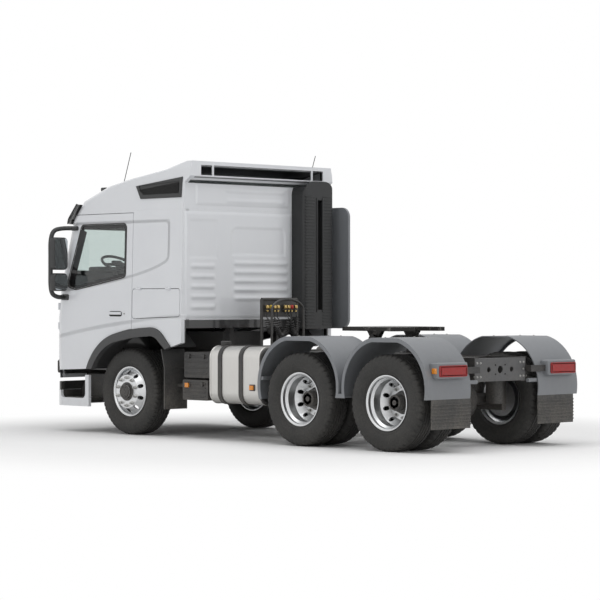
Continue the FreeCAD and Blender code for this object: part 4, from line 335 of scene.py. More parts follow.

# Tyres
# Steel-belted rubber, moulded with grooved ribs and shoulder lugs, singles in front and pairs behind.
# Each pair is mounted on one hub, and each tyre stands in for the plain ring of the model.

front_axle_x = sum(corner.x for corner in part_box("front_tyre_left")) / 2
axle_xs = [sum(corner.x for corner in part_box(f"drive_tyres_{axle}_left")) / 2 for axle in (1, 2)]
tyre_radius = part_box("front_tyre_left")[1].z / 2
tyre_half = 0.151


def ahead(distance):
    """A place that lies this distance ahead of the front axle."""
    return front_axle_x + distance


def tyre_section():
    """One tyre's outline from bead to bead: across the axle, from the axle, and a lug notch's depth."""
    side = [(0.1067, 0.2863, 0), (0.1085, 0.299, 0), (0.1200, 0.314, 0), (0.1290, 0.327, 0),
            (0.1318, 0.329, 0), (0.1345, 0.336, 0), (0.1335, 0.338, 0), (0.1420, 0.358, 0),
            (0.1480, 0.380, 0), (tyre_half, 0.403, 0), (0.1500, 0.428, 0), (0.1470, 0.450, 0),
            (0.1455, 0.452, 0.002), (0.1455, 0.456, 0.004), (0.1425, 0.470, 0.008), (0.1370, 0.486, 0.010),
            (0.1300, 0.499, 0.011), (0.1210, 0.5085, 0.012), (0.1100, 0.5150, 0.012), (0.0980, 0.5185, 0.011),
            (0.0760, 0.5195, 0.007), (0.0660, 0.5195, 0), (0.0630, 0.5060, 0), (0.0570, 0.5060, 0),
            (0.0540, 0.5200, 0), (0.0240, 0.5200, 0), (0.0215, 0.5060, 0), (0.0155, 0.5060, 0),
            (0.0130, 0.5200, 0)]
    return side + [(-y, r, cut) for y, r, cut in side[::-1]]


def turn_tyre(shape, centre_x, centre_y, pitches):
    """Adds one tyre to a mesh, its lugs notched and its grooves stepping a little from lug to lug."""
    tread_edge, groove_step = 0.067, 0.0022
    columns = pitches * 4
    rings = []
    for column in range(columns):
        phase = column % 4
        ring = []
        for y, r, cut in tyre_section():
            if abs(y) < tread_edge:
                y += groove_step if phase in (0, 1) else -groove_step
            up, along = on_circle(r - cut if phase == 3 else r, column, columns)
            ring.append(shape.verts.new((centre_x + along, centre_y + y, tyre_radius + up)))
        rings.append(ring)
    bridge(shape, rings, round_rows=True)


rubber = coated("tyre_rubber", (0.016, 0.016, 0.016, 1), (0.03, 0.03, 0.029, 1),
                (70.0, 0.0004, 1300.0, 0.0002), (0.62, 0.4, 2.2, (0.12, 0.112, 0.1, 1)), specular=0.35)
for label, _ in both_sides:
    low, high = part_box(f"front_tyre_{label}")
    shape = bmesh.new()
    turn_tyre(shape, front_axle_x, (low.y + high.y) / 2, 56)
    tyre = add_shape(f"steer_tyre_{label}", shape, rubber, f"front_wheel_{label}", 26)
    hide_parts(f"front_tyre_{label}")
    for axle in (1, 2):
        low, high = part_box(f"drive_tyres_{axle}_{label}")
        shape = bmesh.new()
        for y in (low.y + tyre_half, high.y - tyre_half):
            turn_tyre(shape, axle_xs[axle - 1], y, 44)
        pair = add_shape(f"drive_tyre_pair_{axle}_{label}", shape, rubber, f"drive_wheels_{axle}_{label}",
                         26)
        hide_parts(f"drive_tyres_{axle}_{label}")

# Wheels
# Forged aluminium discs and rims, turned bright, held by ten flanged nuts on a hub with a black cap.
# Front discs bulge outward, the driven pairs' discs sit deep inside the rim.


def make_wheel_alloy(name, centre_x):
    """Turned aluminium: fine rings about the axle, dust near the ground side."""
    finish, tree, shader = start_finish(name, metal=1.0)
    split = put(tree, "SeparateXYZ", {0: place_on_vehicle(tree)}).node.outputs
    across = calc(tree, "SUBTRACT", split["X"], centre_x)
    up = calc(tree, "SUBTRACT", split["Z"], tyre_radius)
    spot = put(tree, "CombineXYZ", {"X": across, "Y": up})
    reach = put(tree, "VectorMath", {0: spot}, operation="LENGTH").node.outputs["Value"]
    rings = put(tree, "TexNoise", {"W": reach, "Scale": 420.0, "Detail": 2.0}, noise_dimensions="1D")
    base = blend(tree, rings, (0.60, 0.61, 0.62, 1), (0.76, 0.77, 0.78, 1))
    add_film(tree, shader, base, 0.26, 0.28, 1.2, (0.36, 0.34, 0.31, 1))
    join(tree, shader, {"Normal": bump(tree, rings, 0.6, 0.0004)})
    return finish


def turn_about_axle(shape, outline, centre_x, side, steps=64):
    """Adds a ring turned about a wheel's axle: outline points are place across the vehicle and radius."""
    rings = []
    for step in range(steps):
        ring = []
        for y, r in outline:
            up, along = on_circle(r, step, steps)
            ring.append(shape.verts.new((centre_x + along, y * side, tyre_radius + up)))
        rings.append(ring)
    bridge(shape, rings, round_rows=True, round_points=False)


def dress_wheel(name, label, side, body, centre_x, disc_y, hub_outline):
    """Fits nuts, their studs, and a bolted hub cover to one wheel."""
    nut_circle, nut_count = 0.1675, 10
    cover_circle, cover_bolts = 0.062, 6
    nuts, cover = bmesh.new(), bmesh.new()
    for index in range(nut_count):
        up, along = on_circle(nut_circle, index, nut_count)
        centre = Vector((centre_x + along, disc_y * side, tyre_radius + up))
        bolt_head(nuts, centre, (0, side, 0), 0.0175, 0.030)
        stud = bmesh.ops.create_cone(nuts, cap_ends=True, segments=12, radius1=0.0105, radius2=0.009,
                                     depth=0.016)
        turn = stand_along((0, side, 0), centre + Vector((0, side * 0.036, 0)))
        bmesh.ops.transform(nuts, matrix=turn, verts=stud["verts"])
    add_shape(f"{name}_nuts_{label}", nuts, nut_steel, body, 24)
    turn_about_axle(cover, hub_outline, centre_x, side)
    cap_y = hub_outline[-1][0]
    for index in range(cover_bolts):
        up, along = on_circle(cover_circle, index + 0.5, cover_bolts)
        centre = (centre_x + along, (cap_y - 0.003) * side, tyre_radius + up)
        bolt_head(cover, centre, (0, side, 0), 0.006, 0.006)
    add_shape(f"{name}_cover_{label}", cover, hub_black, body, 28)


def round_cap(base_y, top_y, radius):
    """The outline of a hub cap with a rounded shoulder, a rim bead and a shallow crown."""
    return [(base_y, radius), (top_y - 0.022, radius), (top_y - 0.018, radius - 0.003),
            (top_y - 0.008, radius - 0.005), (top_y - 0.002, radius - 0.012), (top_y, radius - 0.020),
            (top_y - 0.004, radius - 0.024), (top_y - 0.004, 0.03), (top_y, 0.026), (top_y, 0.0005)]


hub_black = painted("hub_black", (0.02, 0.02, 0.021, 1), 0.38, film=0.5, reach=1.6, waves=(40.0, 0.0003),
                    tone=0.3)
nut_steel = painted("nut_steel", (0.5, 0.5, 0.49, 1), 0.3, metal=1.0, film=0.4, waves=(120.0, 0.0002),
                    tone=0.15)
disc_offset = 0.164
for label, side in both_sides:
    wheel_middle = abs(sum(corner.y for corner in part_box(f"front_tyre_{label}")) / 2)
    disc_y = wheel_middle + disc_offset
    dress(make_wheel_alloy(f"wheel_alloy_front_{label}", front_axle_x), f"front_rim_{label}")
    flange = [(disc_y + 0.0005, 0.112), (disc_y + 0.006, 0.112), (disc_y + 0.008, 0.108)]
    dress_wheel("front", label, side, f"front_wheel_{label}", front_axle_x, disc_y,
                flange + round_cap(disc_y + 0.010, disc_y + 0.052, 0.0885))
    for axle in (1, 2):
        low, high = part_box(f"drive_tyres_{axle}_{label}")
        pair_middle = abs(low.y + high.y) / 2
        disc_y = pair_middle + 0.172 - disc_offset + 0.012
        hub_y = pair_middle + 0.075
        axle_x = axle_xs[axle - 1]
        dress(make_wheel_alloy(f"wheel_alloy_{axle}_{label}", axle_x), f"drive_rims_{axle}_{label}")
        hub = [(disc_y + 0.0005, 0.128), (disc_y + 0.012, 0.128), (disc_y + 0.016, 0.124),
               (disc_y + 0.03, 0.112), (hub_y + 0.002, 0.110), (hub_y + 0.004, 0.104)]
        dress_wheel(f"drive_{axle}", label, side, f"drive_wheels_{axle}_{label}", axle_x, disc_y,
                    hub + round_cap(hub_y + 0.005, hub_y + 0.096, 0.088))

# Fuel tank
# A welded aluminium tank of brushed sheet with rounded edges hangs in two black straps on the left,
# with its filler cap on top and a ribbed black cover over its rear end.


def make_tank_alloy():
    """Brushed sheet: long fine streaks around the tank's body, and soft rolling waves."""
    finish, tree, shader = start_finish("tank_alloy", metal=1.0)
    place = place_on_vehicle(tree)
    streaks = noise(tree, put(tree, "Mapping", {"Vector": place, "Scale": (420.0, 6.0, 6.0)}), 1.0, 5.0, 0.6)
    waves = noise(tree, place, 3.0, 2.0)
    tone = blend(tree, streaks, (0.50, 0.49, 0.47, 1), (0.68, 0.67, 0.65, 1))
    film = add_film(tree, shader, tone, 0.36, 0.35, 1.0, (0.4, 0.38, 0.34, 1))
    rough = calc(tree, "ADD", film["Roughness"], ramp(tree, streaks, low=-0.05, high=0.08))
    height = calc(tree, "ADD", calc(tree, "MULTIPLY", waves, 0.006), calc(tree, "MULTIPLY", streaks, 0.00012))
    join(tree, shader, {"Roughness": rough, "Normal": bump(tree, height, 0.7)})
    return finish


def tank_band(shape, places):
    """Adds a band round the tank's rounded section: each place is x and how far it stands out."""
    low, high = (corner.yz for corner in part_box("fuel_tank"))
    radius, steps = 0.13, 9
    corners = ((high[0] - radius, high[1] - radius, 0), (low[0] + radius, high[1] - radius, 90),
               (low[0] + radius, low[1] + radius, 180), (high[0] - radius, low[1] + radius, 270))
    rings = []
    for x, grow in places:
        ring = []
        reach = max(radius + grow, 0.002)
        for y, z, start in corners:
            for step in range(steps + 1):
                angle = math.radians(start + 90 * step / steps)
                ring.append(shape.verts.new((x, y + reach * math.cos(angle), z + reach * math.sin(angle))))
        rings.append(ring)
    bridge(shape, rings)
    return rings


tank_alloy = make_tank_alloy()
box_black = painted("box_black", (0.022, 0.022, 0.023, 1), 0.48, film=0.42, waves=(30.0, 0.0004),
                    grain=(700.0, 0.0003), tone=0.25)
dress(tank_alloy, "fuel_tank")
dress(box_black, "side_boxes")
tank_low, tank_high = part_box("fuel_tank")
seams, end_cover, filler = bmesh.new(), bmesh.new(), bmesh.new()
for x in (tank_low.x + 0.004, tank_high.x - 0.022):
    tank_band(seams, [(x, -0.001), (x, 0.004), (x + 0.004, 0.0065), (x + 0.014, 0.0065), (x + 0.018, 0.004),
                      (x + 0.018, -0.001)])
add_shape("tank_seams", seams, tank_alloy, "chassis", 40)

rear = tank_low.x
rings = tank_band(end_cover, [(rear + 0.002, -0.012), (rear - 0.008, -0.014), (rear - 0.014, -0.022),
                              (rear - 0.016, -0.034), (rear - 0.011, -0.046), (rear - 0.011, -0.075),
                              (rear - 0.017, -0.082), (rear - 0.017, -0.1)])
end_cover.faces.new(rings[-1])
add_shape("tank_end_cover", end_cover, box_black, "chassis", 30)

fill_x, fill_y, grip_radius, grip_depth = tank_high.x - 0.095, tank_high.y - 0.17, 0.058, 0.003
rings = []
for z, r in [(-0.03, 0.055), (0.012, 0.055), (0.016, 0.06), (0.05, 0.062), (0.056, 0.056), (0.058, 0.04),
             (0.054, 0.03), (0.054, 0.001)]:
    ring = []
    for step in range(48):
        notch = grip_depth if step % 4 == 0 and r > grip_radius else 0
        ring.append(filler.verts.new((fill_x + on_circle(r - notch, step, 48)[0],
                                      fill_y + on_circle(r, step, 48)[1], tank_high.z + z)))
    rings.append(ring)
bridge(filler, rings)
add_shape("filler_cap", filler, box_black, "chassis", 30)

# Boxes, flaps and marker lamps behind the front wheels
# Two moulded battery and tool boxes on each side with ribbed lids and rubber latches, a bent plastic flap
# ahead of them, and small amber lamps in black holders on their faces and on the sides further back.


def about(middle, half):
    """The range that reaches this far to both sides of a place."""
    return middle - half, middle + half


def soft_block(shape, x_range, y_range, z_range, radius, steps=3, side=1):
    """Adds a closed block with rounded edges; side -1 mirrors it to the vehicle's right."""
    made = bmesh.ops.create_cube(shape, size=1.0)
    low, high = map(Vector, zip(x_range, sorted(y * side for y in y_range), z_range))
    size = high - low
    bmesh.ops.scale(shape, vec=size, verts=made["verts"])
    bmesh.ops.translate(shape, vec=(high + low) / 2, verts=made["verts"])
    edges = {edge for vert in made["verts"] for edge in vert.link_edges}
    bmesh.ops.bevel(shape, geom=list(edges), offset=min(radius, min(size) * 0.49), segments=steps,
                    profile=0.5, affect="EDGES")


def make_amber():
    """Amber lamp plastic with its moulded prisms showing as fine bars."""
    finish, tree, shader = start_finish("lamp_amber", coat=0.6)
    bars = bands(tree, 60.0, "Z")
    tone = blend(tree, bars, (0.62, 0.17, 0.008, 1), (0.95, 0.36, 0.02, 1))
    join(tree, shader, {"Base Color": tone, "Roughness": 0.22, "Normal": bump(tree, bars, 0.5, 0.001)})
    return finish


flap_rubber = painted("flap_rubber", (0.035, 0.036, 0.037, 1), 0.62, film=0.5, reach=1.2,
                      waves=(26.0, 0.0008), grain=(900.0, 0.0002), tone=0.2)
amber = make_amber()
dress(flap_rubber, "front_flaps", "rear_flaps")
dress(amber, "marker_lamps")

box_outer = 1.130
box_back, box_front = ahead(-1.400), ahead(-0.960)
ribs, holders = bmesh.new(), bmesh.new()
for _, side in both_sides:
    for low_z, high_z, outer in ((0.47, 0.668, box_outer), (0.732, 0.99, box_outer - 0.024)):
        for index in range(4):
            z = low_z + (high_z - low_z) * (index + 0.5) / 4
            soft_block(ribs, (box_back + 0.04, box_front - 0.04), (outer - 0.002, outer + 0.007),
                       about(z, 0.008), 0.004, 2, side)
        for x in (box_back + 0.09, box_front - 0.09):
            soft_block(ribs, about(x, 0.018), (outer - 0.002, outer + 0.02), (high_z - 0.055, high_z - 0.005),
                       0.006, 2, side)
    for back, wall in ((-1.080, box_outer), (-2.240, 1.185)):
        soft_block(holders, (ahead(back) - 0.012, ahead(back) + 0.072), (wall, wall + 0.008), (0.588, 0.662),
                   0.004, side=side)
add_shape("box_ribs", ribs, box_black, "chassis", 30)
add_shape("marker_holders", holders, box_black, "chassis", 30)

# Rear fenders
# Vacuum-formed grey plastic in one double hump each side, bolted through washers to stays from the frame,
# with a housing moulded at the back that carries the tail lamp.

fender_grey = painted("fender_grey", (0.20, 0.21, 0.225, 1), 0.5, film=0.3, reach=1.5, waves=(14.0, 0.001),
                      grain=(1100.0, 0.00012), dust=(0.3, 0.29, 0.27, 1), tone=0.05)
dress(fender_grey, "rear_fenders")
lamp_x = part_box("tail_lamps")[0].x
fender_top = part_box("rear_fenders")[1].z
housings, fender_bolts = bmesh.new(), bmesh.new()
for _, side in both_sides:
    soft_block(housings, (lamp_x + 0.014, lamp_x + 0.14), (0.672, 1.150), (0.790, 0.958), 0.02, 4, side)
    for axle_x in axle_xs:
        for x in (axle_x + 0.1, axle_x - 0.1):
            for y in (0.66, 1.12):
                bolt_head(fender_bolts, (x, y * side, fender_top), (0, 0, 1), 0.010, 0.008)
add_shape("lamp_housings", housings, fender_grey, "chassis", 30)
add_shape("fender_bolts", fender_bolts, zinc, "chassis", 20)

# Tail lamps
# Red moulded lenses with a bright reflector frame round a darker middle, a clear reversing cell outboard
# and a small amber side lamp, screwed to the housings.


def make_lens(name, dark, light, bars_across):
    """Moulded lens: deep colour under a thin clear coat, and prisms seen as a fine pattern."""
    finish, tree, shader = start_finish(name, coat=0.4, specular=0.25)
    both = calc(tree, "MULTIPLY", bands(tree, 26.0, "Y"), bands(tree, bars_across, "Z"))
    join(tree, shader, {"Base Color": blend(tree, both, dark, light), "Roughness": 0.18,
                        "Normal": bump(tree, both, 0.4, 0.002)})
    return finish


lens_red = make_lens("lens_red", (0.22, 0.003, 0.003, 1), (0.62, 0.010, 0.008, 1), 30.0)
lens_deep = make_lens("lens_deep_red", (0.05, 0.002, 0.003, 1), (0.20, 0.005, 0.005, 1), 44.0)
lens_clear = make_lens("lens_clear", (0.42, 0.42, 0.44, 1), (0.85, 0.85, 0.86, 1), 40.0)
dress(lens_red, "tail_lamps")
frames, middles, clears, ambers = (bmesh.new() for _ in range(4))
lamp_front, cell_rows = lamp_x + 0.012, (0.842, 0.898)
for _, side in both_sides:
    for y_range, z_range in (((0.706, 1.124), (0.906, 0.924)), ((0.706, 1.124), (0.816, 0.834)),
                             ((0.706, 0.726), (0.830, 0.910)), ((1.104, 1.124), (0.830, 0.910))):
        soft_block(frames, (lamp_x, lamp_front), y_range, z_range, 0.005, 2, side)
    for cells, y_range in ((middles, (0.735, 0.985)), (clears, (0.992, 1.030)), (middles, (1.036, 1.096))):
        soft_block(cells, (lamp_x + 0.0005, lamp_front), y_range, cell_rows, 0.006, 2, side)
    soft_block(ambers, (lamp_x + 0.03, lamp_x + 0.10), (1.128, 1.158), (0.842, 0.902), 0.008, side=side)
add_shape("lamp_frames", frames, lens_red, "chassis", 30)
add_shape("lamp_middles", middles, lens_deep, "chassis", 30)
add_shape("lamp_clears", clears, lens_clear, "chassis", 30)
add_shape("lamp_ambers", ambers, amber, "chassis", 30)

# Walkway, hose stand and coupling plate
# A chequered aluminium sheet on the rails, a black tubular stand for the air and light lines,
# and a cast coupling plate with a greased top on its painted mount.


def make_chequer():
    """Rolled tread plate: small raised bars set at right angles to each other, dulled and dirty between."""
    finish, tree, shader = start_finish("deck_chequer", metal=1.0)
    turned = put(tree, "Mapping", {"Vector": place_on_vehicle(tree), "Rotation": (0, 0, math.radians(45)),
                                   "Scale": (38.0, 38.0, 38.0)})
    chips = put(tree, "TexBrick", {"Vector": turned, "Color1": (1, 1, 1, 1), "Color2": (0.8, 0.8, 0.8, 1),
                                   "Mortar": (0, 0, 0, 1), "Mortar Size": 0.12, "Mortar Smooth": 0.5,
                                   "Scale": 1.0, "Brick Width": 1.0, "Row Height": 0.45})
    height = put(tree, "RGBToBW", {0: chips})
    tone = blend(tree, height, (0.10, 0.10, 0.10, 1), (0.34, 0.34, 0.34, 1))
    add_film(tree, shader, tone, 0.42, 0.5, 2.4, (0.12, 0.11, 0.1, 1))
    join(tree, shader, {"Normal": bump(tree, height, 0.8, 0.002)})
    return finish


def make_greased():
    """Cast steel under thick dark grease, bright where the trailer's plate has rubbed it."""
    finish, tree, shader = start_finish("coupling_greased", metal=0.6)
    stretched = put(tree, "Mapping", {"Vector": place_on_vehicle(tree), "Scale": (3.0, 14.0, 3.0)})
    smears = noise(tree, stretched, 2.0, 8.0, 0.7)
    worn = ramp(tree, smears, 0.52, 0.72)
    join(tree, shader, {"Base Color": blend(tree, worn, (0.018, 0.017, 0.016, 1), (0.19, 0.18, 0.17, 1)),
                        "Roughness": ramp(tree, smears, low=0.22, high=0.5),
                        "Normal": bump(tree, smears, 0.5, 0.003)})
    return finish


stand_black = painted("stand_black", (0.02, 0.02, 0.021, 1), 0.35, film=0.3, reach=2.6, waves=(40.0, 0.0003),
                      tone=0.2)
dress(make_chequer(), "deck_plate")
dress(make_greased(), "fifth_wheel_plate")
dress(stand_black, "hose_stand")
deck_low, deck_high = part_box("deck_plate")
mount_low, mount_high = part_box("fifth_wheel_mount")
deck_bolts = bmesh.new()
for low, high, margin, count, y, z, radius, depth in (
        (deck_low, deck_high, 0.06, 6, 0.39, deck_high.z, 0.009, 0.007),
        (mount_low, mount_high, 0.05, 5, 0.405, 1.016, 0.012, 0.011)):
    for _, side in both_sides:
        for index in range(count):
            x = low.x + margin + (high.x - low.x - 2 * margin) * index / (count - 1)
            bolt_head(deck_bolts, (x, y * side, z), (0, 0, 1), radius, depth)
add_shape("deck_bolts", deck_bolts, zinc, "chassis", 20)

# Cab panels
# Pressed and welded steel sheet in gloss white over a tilting shell, with creases pressed along the sides,
# swages across the back wall, and near-black painted shade under the cab. Doors, lockers and the front lid
# share the paint.

cab_back_x = ahead(-1.060)
cab_front_x = cad_box[1].x
half_cab = 1.245


def make_pressed_lines():
    """Height of the side panels: the recess round the window, its rising crease, and the lower crease."""
    crease_depth = 0.040
    tree, _, send = effect("pressed_lines", {}, {"Height": "value"})
    split = put(tree, "SeparateXYZ", {0: place_on_vehicle(tree)}).node.outputs
    along = ramp(tree, split["X"], cab_back_x, cab_front_x)

    def line_height(points, low, high):
        """A curve over the cab's length, as heights between low and high."""
        curve = tree.nodes.new("ShaderNodeFloatCurve")
        track = curve.mapping.curves[0]
        for index, (x, z) in enumerate(points):
            place = ((x - cab_back_x) / (cab_front_x - cab_back_x), (z - low) / (high - low))
            if index in (0, 1):
                track.points[index].location = place
            else:
                track.points.new(*place)
        curve.mapping.update()
        tree.links.new(along, curve.inputs["Value"])
        return ramp(tree, curve.outputs[0], low=low, high=high)

    upper = line_height([(cab_back_x, 2.22), (cab_back_x + 0.26, 2.085), (cab_back_x + 0.45, 2.01),
                         (ahead(-0.165), 1.905), (ahead(1.0), 1.745), (cab_front_x, 1.70)], 1.6, 2.4)
    lower = line_height([(cab_back_x, 1.428), (cab_back_x + 0.5, 1.405), (ahead(-0.15), 1.360),
                         (ahead(0.5), 1.285), (ahead(1.262), 1.165), (cab_front_x, 1.13)], 1.0, 1.6)
    above = calc(tree, "SUBTRACT", split["Z"], upper)
    ahead_of_back = calc(tree, "SUBTRACT", split["X"], cab_back_x + 0.235)
    below_top = calc(tree, "SUBTRACT", 2.56, split["Z"])
    inside = calc(tree, "SMOOTH_MIN", above, ahead_of_back, 0.10)
    inside = calc(tree, "SMOOTH_MIN", inside, below_top, 0.08)
    recess = ramp(tree, inside, -0.02, 0.03, 1.0, 0.0, interpolation_type="SMOOTHSTEP")
    under = calc(tree, "SUBTRACT", lower, split["Z"])
    flare = ramp(tree, under, -0.035, 0.035, 0.0, 1.2, interpolation_type="SMOOTHSTEP")
    on_side = ramp(tree, calc(tree, "ABSOLUTE", split["Y"]), 1.12, 1.17)
    shaped = calc(tree, "MULTIPLY", calc(tree, "ADD", recess, flare), on_side)
    send("Height", calc(tree, "MULTIPLY", shaped, crease_depth))
    return tree


pressed_lines = make_pressed_lines()


def inside_box(tree, low, high, soft=0.004):
    """A mask that is 1 inside a box given by its corners, mirrored across the vehicle's middle."""
    split = put(tree, "SeparateXYZ", {0: place_on_vehicle(tree)}).node.outputs
    across = calc(tree, "ABSOLUTE", split["Y"])
    mask = None
    for socket, least, most in zip((split["X"], across, split["Z"]), low, high):
        for edge, below, beyond in ((least, 0.0, 1.0), (most, 1.0, 0.0)):
            if edge is not None:
                step = ramp(tree, socket, edge - soft, edge + soft, below, beyond)
                mask = step if mask is None else calc(tree, "MULTIPLY", mask, step)
    return mask


def make_cab_paint(name, painted_shade_boxes=(), lined=True):
    """Gloss white with a clear coat, a slight wave, road film low down, and near-black painted shade where it
    is masked.
    """
    finish, tree, shader = start_finish(name, coat=0.7)
    relief = add_grain(tree, 2.2, 0.0016, 260.0, 0.00001)
    base = blend(tree, relief["Tone"], (0.70, 0.715, 0.745, 1), (0.755, 0.77, 0.795, 1))
    # Each masked box is painted near-black: painted shade, not a finish of its own.
    for low, high in painted_shade_boxes:
        base = blend(tree, inside_box(tree, low, high), base, (0.02, 0.02, 0.021, 1))
    add_film(tree, shader, base, 0.30, 0.16, 1.5, (0.46, 0.43, 0.39, 1))
    normal = relief["Normal"]
    if lined:
        lines = use_effect(tree, pressed_lines, {})
        normal = put(tree, "Bump", {"Strength": 1.0, "Distance": 1.0, "Height": lines["Height"],
                                    "Normal": normal})
    join(tree, shader, {"Normal": normal})
    return finish


cab_paint = make_cab_paint("cab_paint")
# The shell's boxes are painted shade: near-black under the cab floor, on the lowest strip of the back wall
# and low at the front.
shell_paint = make_cab_paint("cab_paint_shell", [((None, None, None), (cab_back_x + 0.055, 1.19, 1.388)),
                                                  ((cab_back_x + 0.06, None, None), (None, 1.18, 1.345)),
                                                  ((cab_front_x - 0.20, None, None), (None, None, 1.215))])
roof_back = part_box("roof_cap")[0].x
# The roof's box is painted shade: near-black on a band high in the roof's back, set in from its rear edge.
roof_paint = make_cab_paint("cab_paint_roof", [((roof_back + 0.012, None, 3.055),
                                                (roof_back + 0.52, 1.10, 3.196))], lined=False)
dress(cab_paint, "door_left", "door_right", "locker_left", "locker_right", "front_lid", "front_corners",
      "bumper")
dress(shell_paint, "cab_shell")
dress(roof_paint, "roof_cap")

# Windows
# Tinted laminated glass set in black rubber, with a fired black border round the windscreen and
# the door windows. The glass shows the cab's inside.


def make_glass(name, tint):
    """Tinted glass with a little dust on it."""
    finish, tree, shader = start_finish(name)
    film = add_film(tree, shader, tint, 0.0, 0.03, 3.4, (0.6, 0.6, 0.58, 1))
    join(tree, shader, {"Transmission Weight": 1.0, "IOR": 1.45,
                        "Roughness": calc(tree, "MULTIPLY", film["Mask"], 0.25)})
    return finish


def surface_of(*names):
    """A surface made of CAD nodes' faces, to lay trim on."""
    verts, faces = [], []
    for name in names:
        mesh = nodes[name].data
        start = len(verts)
        verts += [vert.co.copy() for vert in mesh.vertices]
        faces += [[start + index for index in face.vertices] for face in mesh.polygons]
    return BVHTree.FromPolygons(verts, faces)


def lay_on_side(surface, side):
    """Finds points on the vehicle's side: place along it and height, with how far they stand out."""
    def lay(x, z, proud):
        hit = surface.ray_cast(Vector((x, 2.4, z)), Vector((0, -1, 0)))[0]
        y = hit.y if hit else half_cab - 0.02
        return Vector((x, (y + proud) * side, z))
    return lay


def lay_on_front(surface):
    """Finds points on the vehicle's front: place across it and height, with how far they stand out."""
    def lay(y, z, proud):
        hit = surface.ray_cast(Vector((5.0, y, z)), Vector((-1, 0, 0)))[0]
        return Vector(((hit.x if hit else cab_front_x - 0.1) + proud, y, z))
    return lay


def corner_ways(corners):
    """Each corner of a closed outline with its place, the ways in and out of it, and its radius."""
    found = []
    for index, (u, v, radius) in enumerate(corners):
        here = Vector((u, v))
        before = (here - Vector(corners[index - 1][:2])).normalized()
        after = (Vector(corners[(index + 1) % len(corners)][:2]) - here).normalized()
        found.append((here, before, after, radius))
    return found


def rounded_line(corners, steps=6):
    """A closed outline with rounded corners, each corner two places and a radius."""
    line = []
    for here, before, after, radius in corner_ways(corners):
        half = (-before).angle(after) / 2
        centre = here + (after - before).normalized() * (radius / math.sin(half))
        first = here - before * (radius / math.tan(half)) - centre
        last = here + after * (radius / math.tan(half)) - centre
        sweep = first.angle_signed(last)
        line += [centre + Matrix.Rotation(-sweep * step / steps, 2) @ first for step in range(steps + 1)]
    return line


def grown(corners, distance):
    """The same outline grown outward by a distance (corners run counter-clockwise)."""
    made = []
    for here, before, after, radius in corner_ways(corners):
        out_before, out_after = Vector((before.y, -before.x)), Vector((after.y, -after.x))
        middle = (out_before + out_after).normalized()
        spread = distance / max(middle.dot(out_after), 0.2)
        made.append((*(here + middle * spread), max(radius + distance, 0.0)))
    return made


def even_line(line, pitch, closed=True):
    """The same line with points at an even pitch."""
    points = [Vector(point) for point in line]
    if closed:
        points.append(points[0])
    lengths = [0.0]
    for first, second in zip(points, points[1:]):
        lengths.append(lengths[-1] + (second - first).length)
    count = max(int(round(lengths[-1] / pitch)), 4)
    made = []
    for index in range(count if closed else count + 1):
        reach = lengths[-1] * index / count
        slot = min(bisect.bisect_right(lengths, reach) - 1, len(points) - 2)
        share = (reach - lengths[slot]) / max(lengths[slot + 1] - lengths[slot], 1e-9)
        made.append(points[slot].lerp(points[slot + 1], share))
    return made


def ribbon(shape, lay, line, section, closed=True):
    """Lays a strip along a line: section points are distance to its left and how far they stand out."""
    count = len(line)
    rows = []
    for index, point in enumerate(line):
        before = line[index - 1] if closed or index else point
        after = line[(index + 1) % count] if closed or index < count - 1 else point
        along = (after - before).normalized()
        left = Vector((-along.y, along.x))
        rows.append([shape.verts.new(lay(point.x + left.x * across, point.y + left.y * across, proud))
                     for across, proud in section])
    bridge(shape, rows, closed, False)
    return rows


dress(make_glass("window_glass", (0.73, 0.79, 0.775, 1)), "windscreen", "door_glass_left", "door_glass_right")
border_black = painted("border_black", (0.008, 0.008, 0.009, 1), 0.14, film=0.08, reach=3.0,
                       waves=(8.0, 0.0001), tone=0.1)
seal_rubber = painted("seal_rubber", (0.012, 0.012, 0.012, 1), 0.6, film=0.2, reach=3.0, waves=(80.0, 0.0002),
                      tone=0.2)
window_corners = [(ahead(-0.040), 1.905, 0.045), (ahead(0.890), 1.755, 0.09), (ahead(1.060), 1.795, 0.045),
                  (ahead(0.795), 2.530, 0.045), (ahead(-0.040), 2.530, 0.045)]
screen_corners = [(-1.080, 1.745, 0.09), (1.080, 1.745, 0.09), (1.045, 2.565, 0.09), (-1.045, 2.565, 0.09)]
pillar_line = [Vector(point) for point in ((ahead(1.035), 1.83), (ahead(0.93), 2.12), (ahead(0.80), 2.48))]
seal_section = [(-0.016, 0.0005), (-0.014, 0.0045), (-0.004, 0.006), (0.004, 0.0045), (0.008, 0.0005)]
door_faces = surface_of("door_left", "door_glass_left", "cab_shell")
glass_faces = surface_of("door_glass_left")
screen_faces = surface_of("windscreen")
front_faces = surface_of("windscreen", "cab_shell", "front_lid", "front_corners", "grille", "headlamps",
                         "bumper", "bumper_band", "roof_cap")
for label, side in both_sides:
    borders, seals = bmesh.new(), bmesh.new()
    lay = lay_on_side(glass_faces, side)
    ribbon(borders, lay, even_line(rounded_line(grown(window_corners, -0.0015)), 0.03),
           [(0.0, 0.0008), (0.020, 0.0008), (0.040, 0.0008)])
    ribbon(borders, lay, even_line(pillar_line, 0.03, closed=False),
           [(-0.02, 0.0009), (0.03, 0.0009), (0.085, 0.0009)], closed=False)
    ribbon(seals, lay_on_side(door_faces, side), even_line(rounded_line(window_corners), 0.02), seal_section)
    add_shape(f"window_border_{label}", borders, border_black, f"door_{label}_body", 40)
    add_shape(f"window_seal_{label}", seals, seal_rubber, f"door_{label}_body", 40)

borders, seals = bmesh.new(), bmesh.new()
ribbon(borders, lay_on_front(screen_faces), even_line(rounded_line(grown(screen_corners, -0.002)), 0.04),
       [(0.0, 0.001), (0.03, 0.001), (0.065, 0.001)])
ribbon(seals, lay_on_front(front_faces), even_line(rounded_line(screen_corners), 0.03), seal_section)
add_shape("screen_border", borders, border_black, "cab", 40)
add_shape("screen_seal", seals, seal_rubber, "cab", 40)

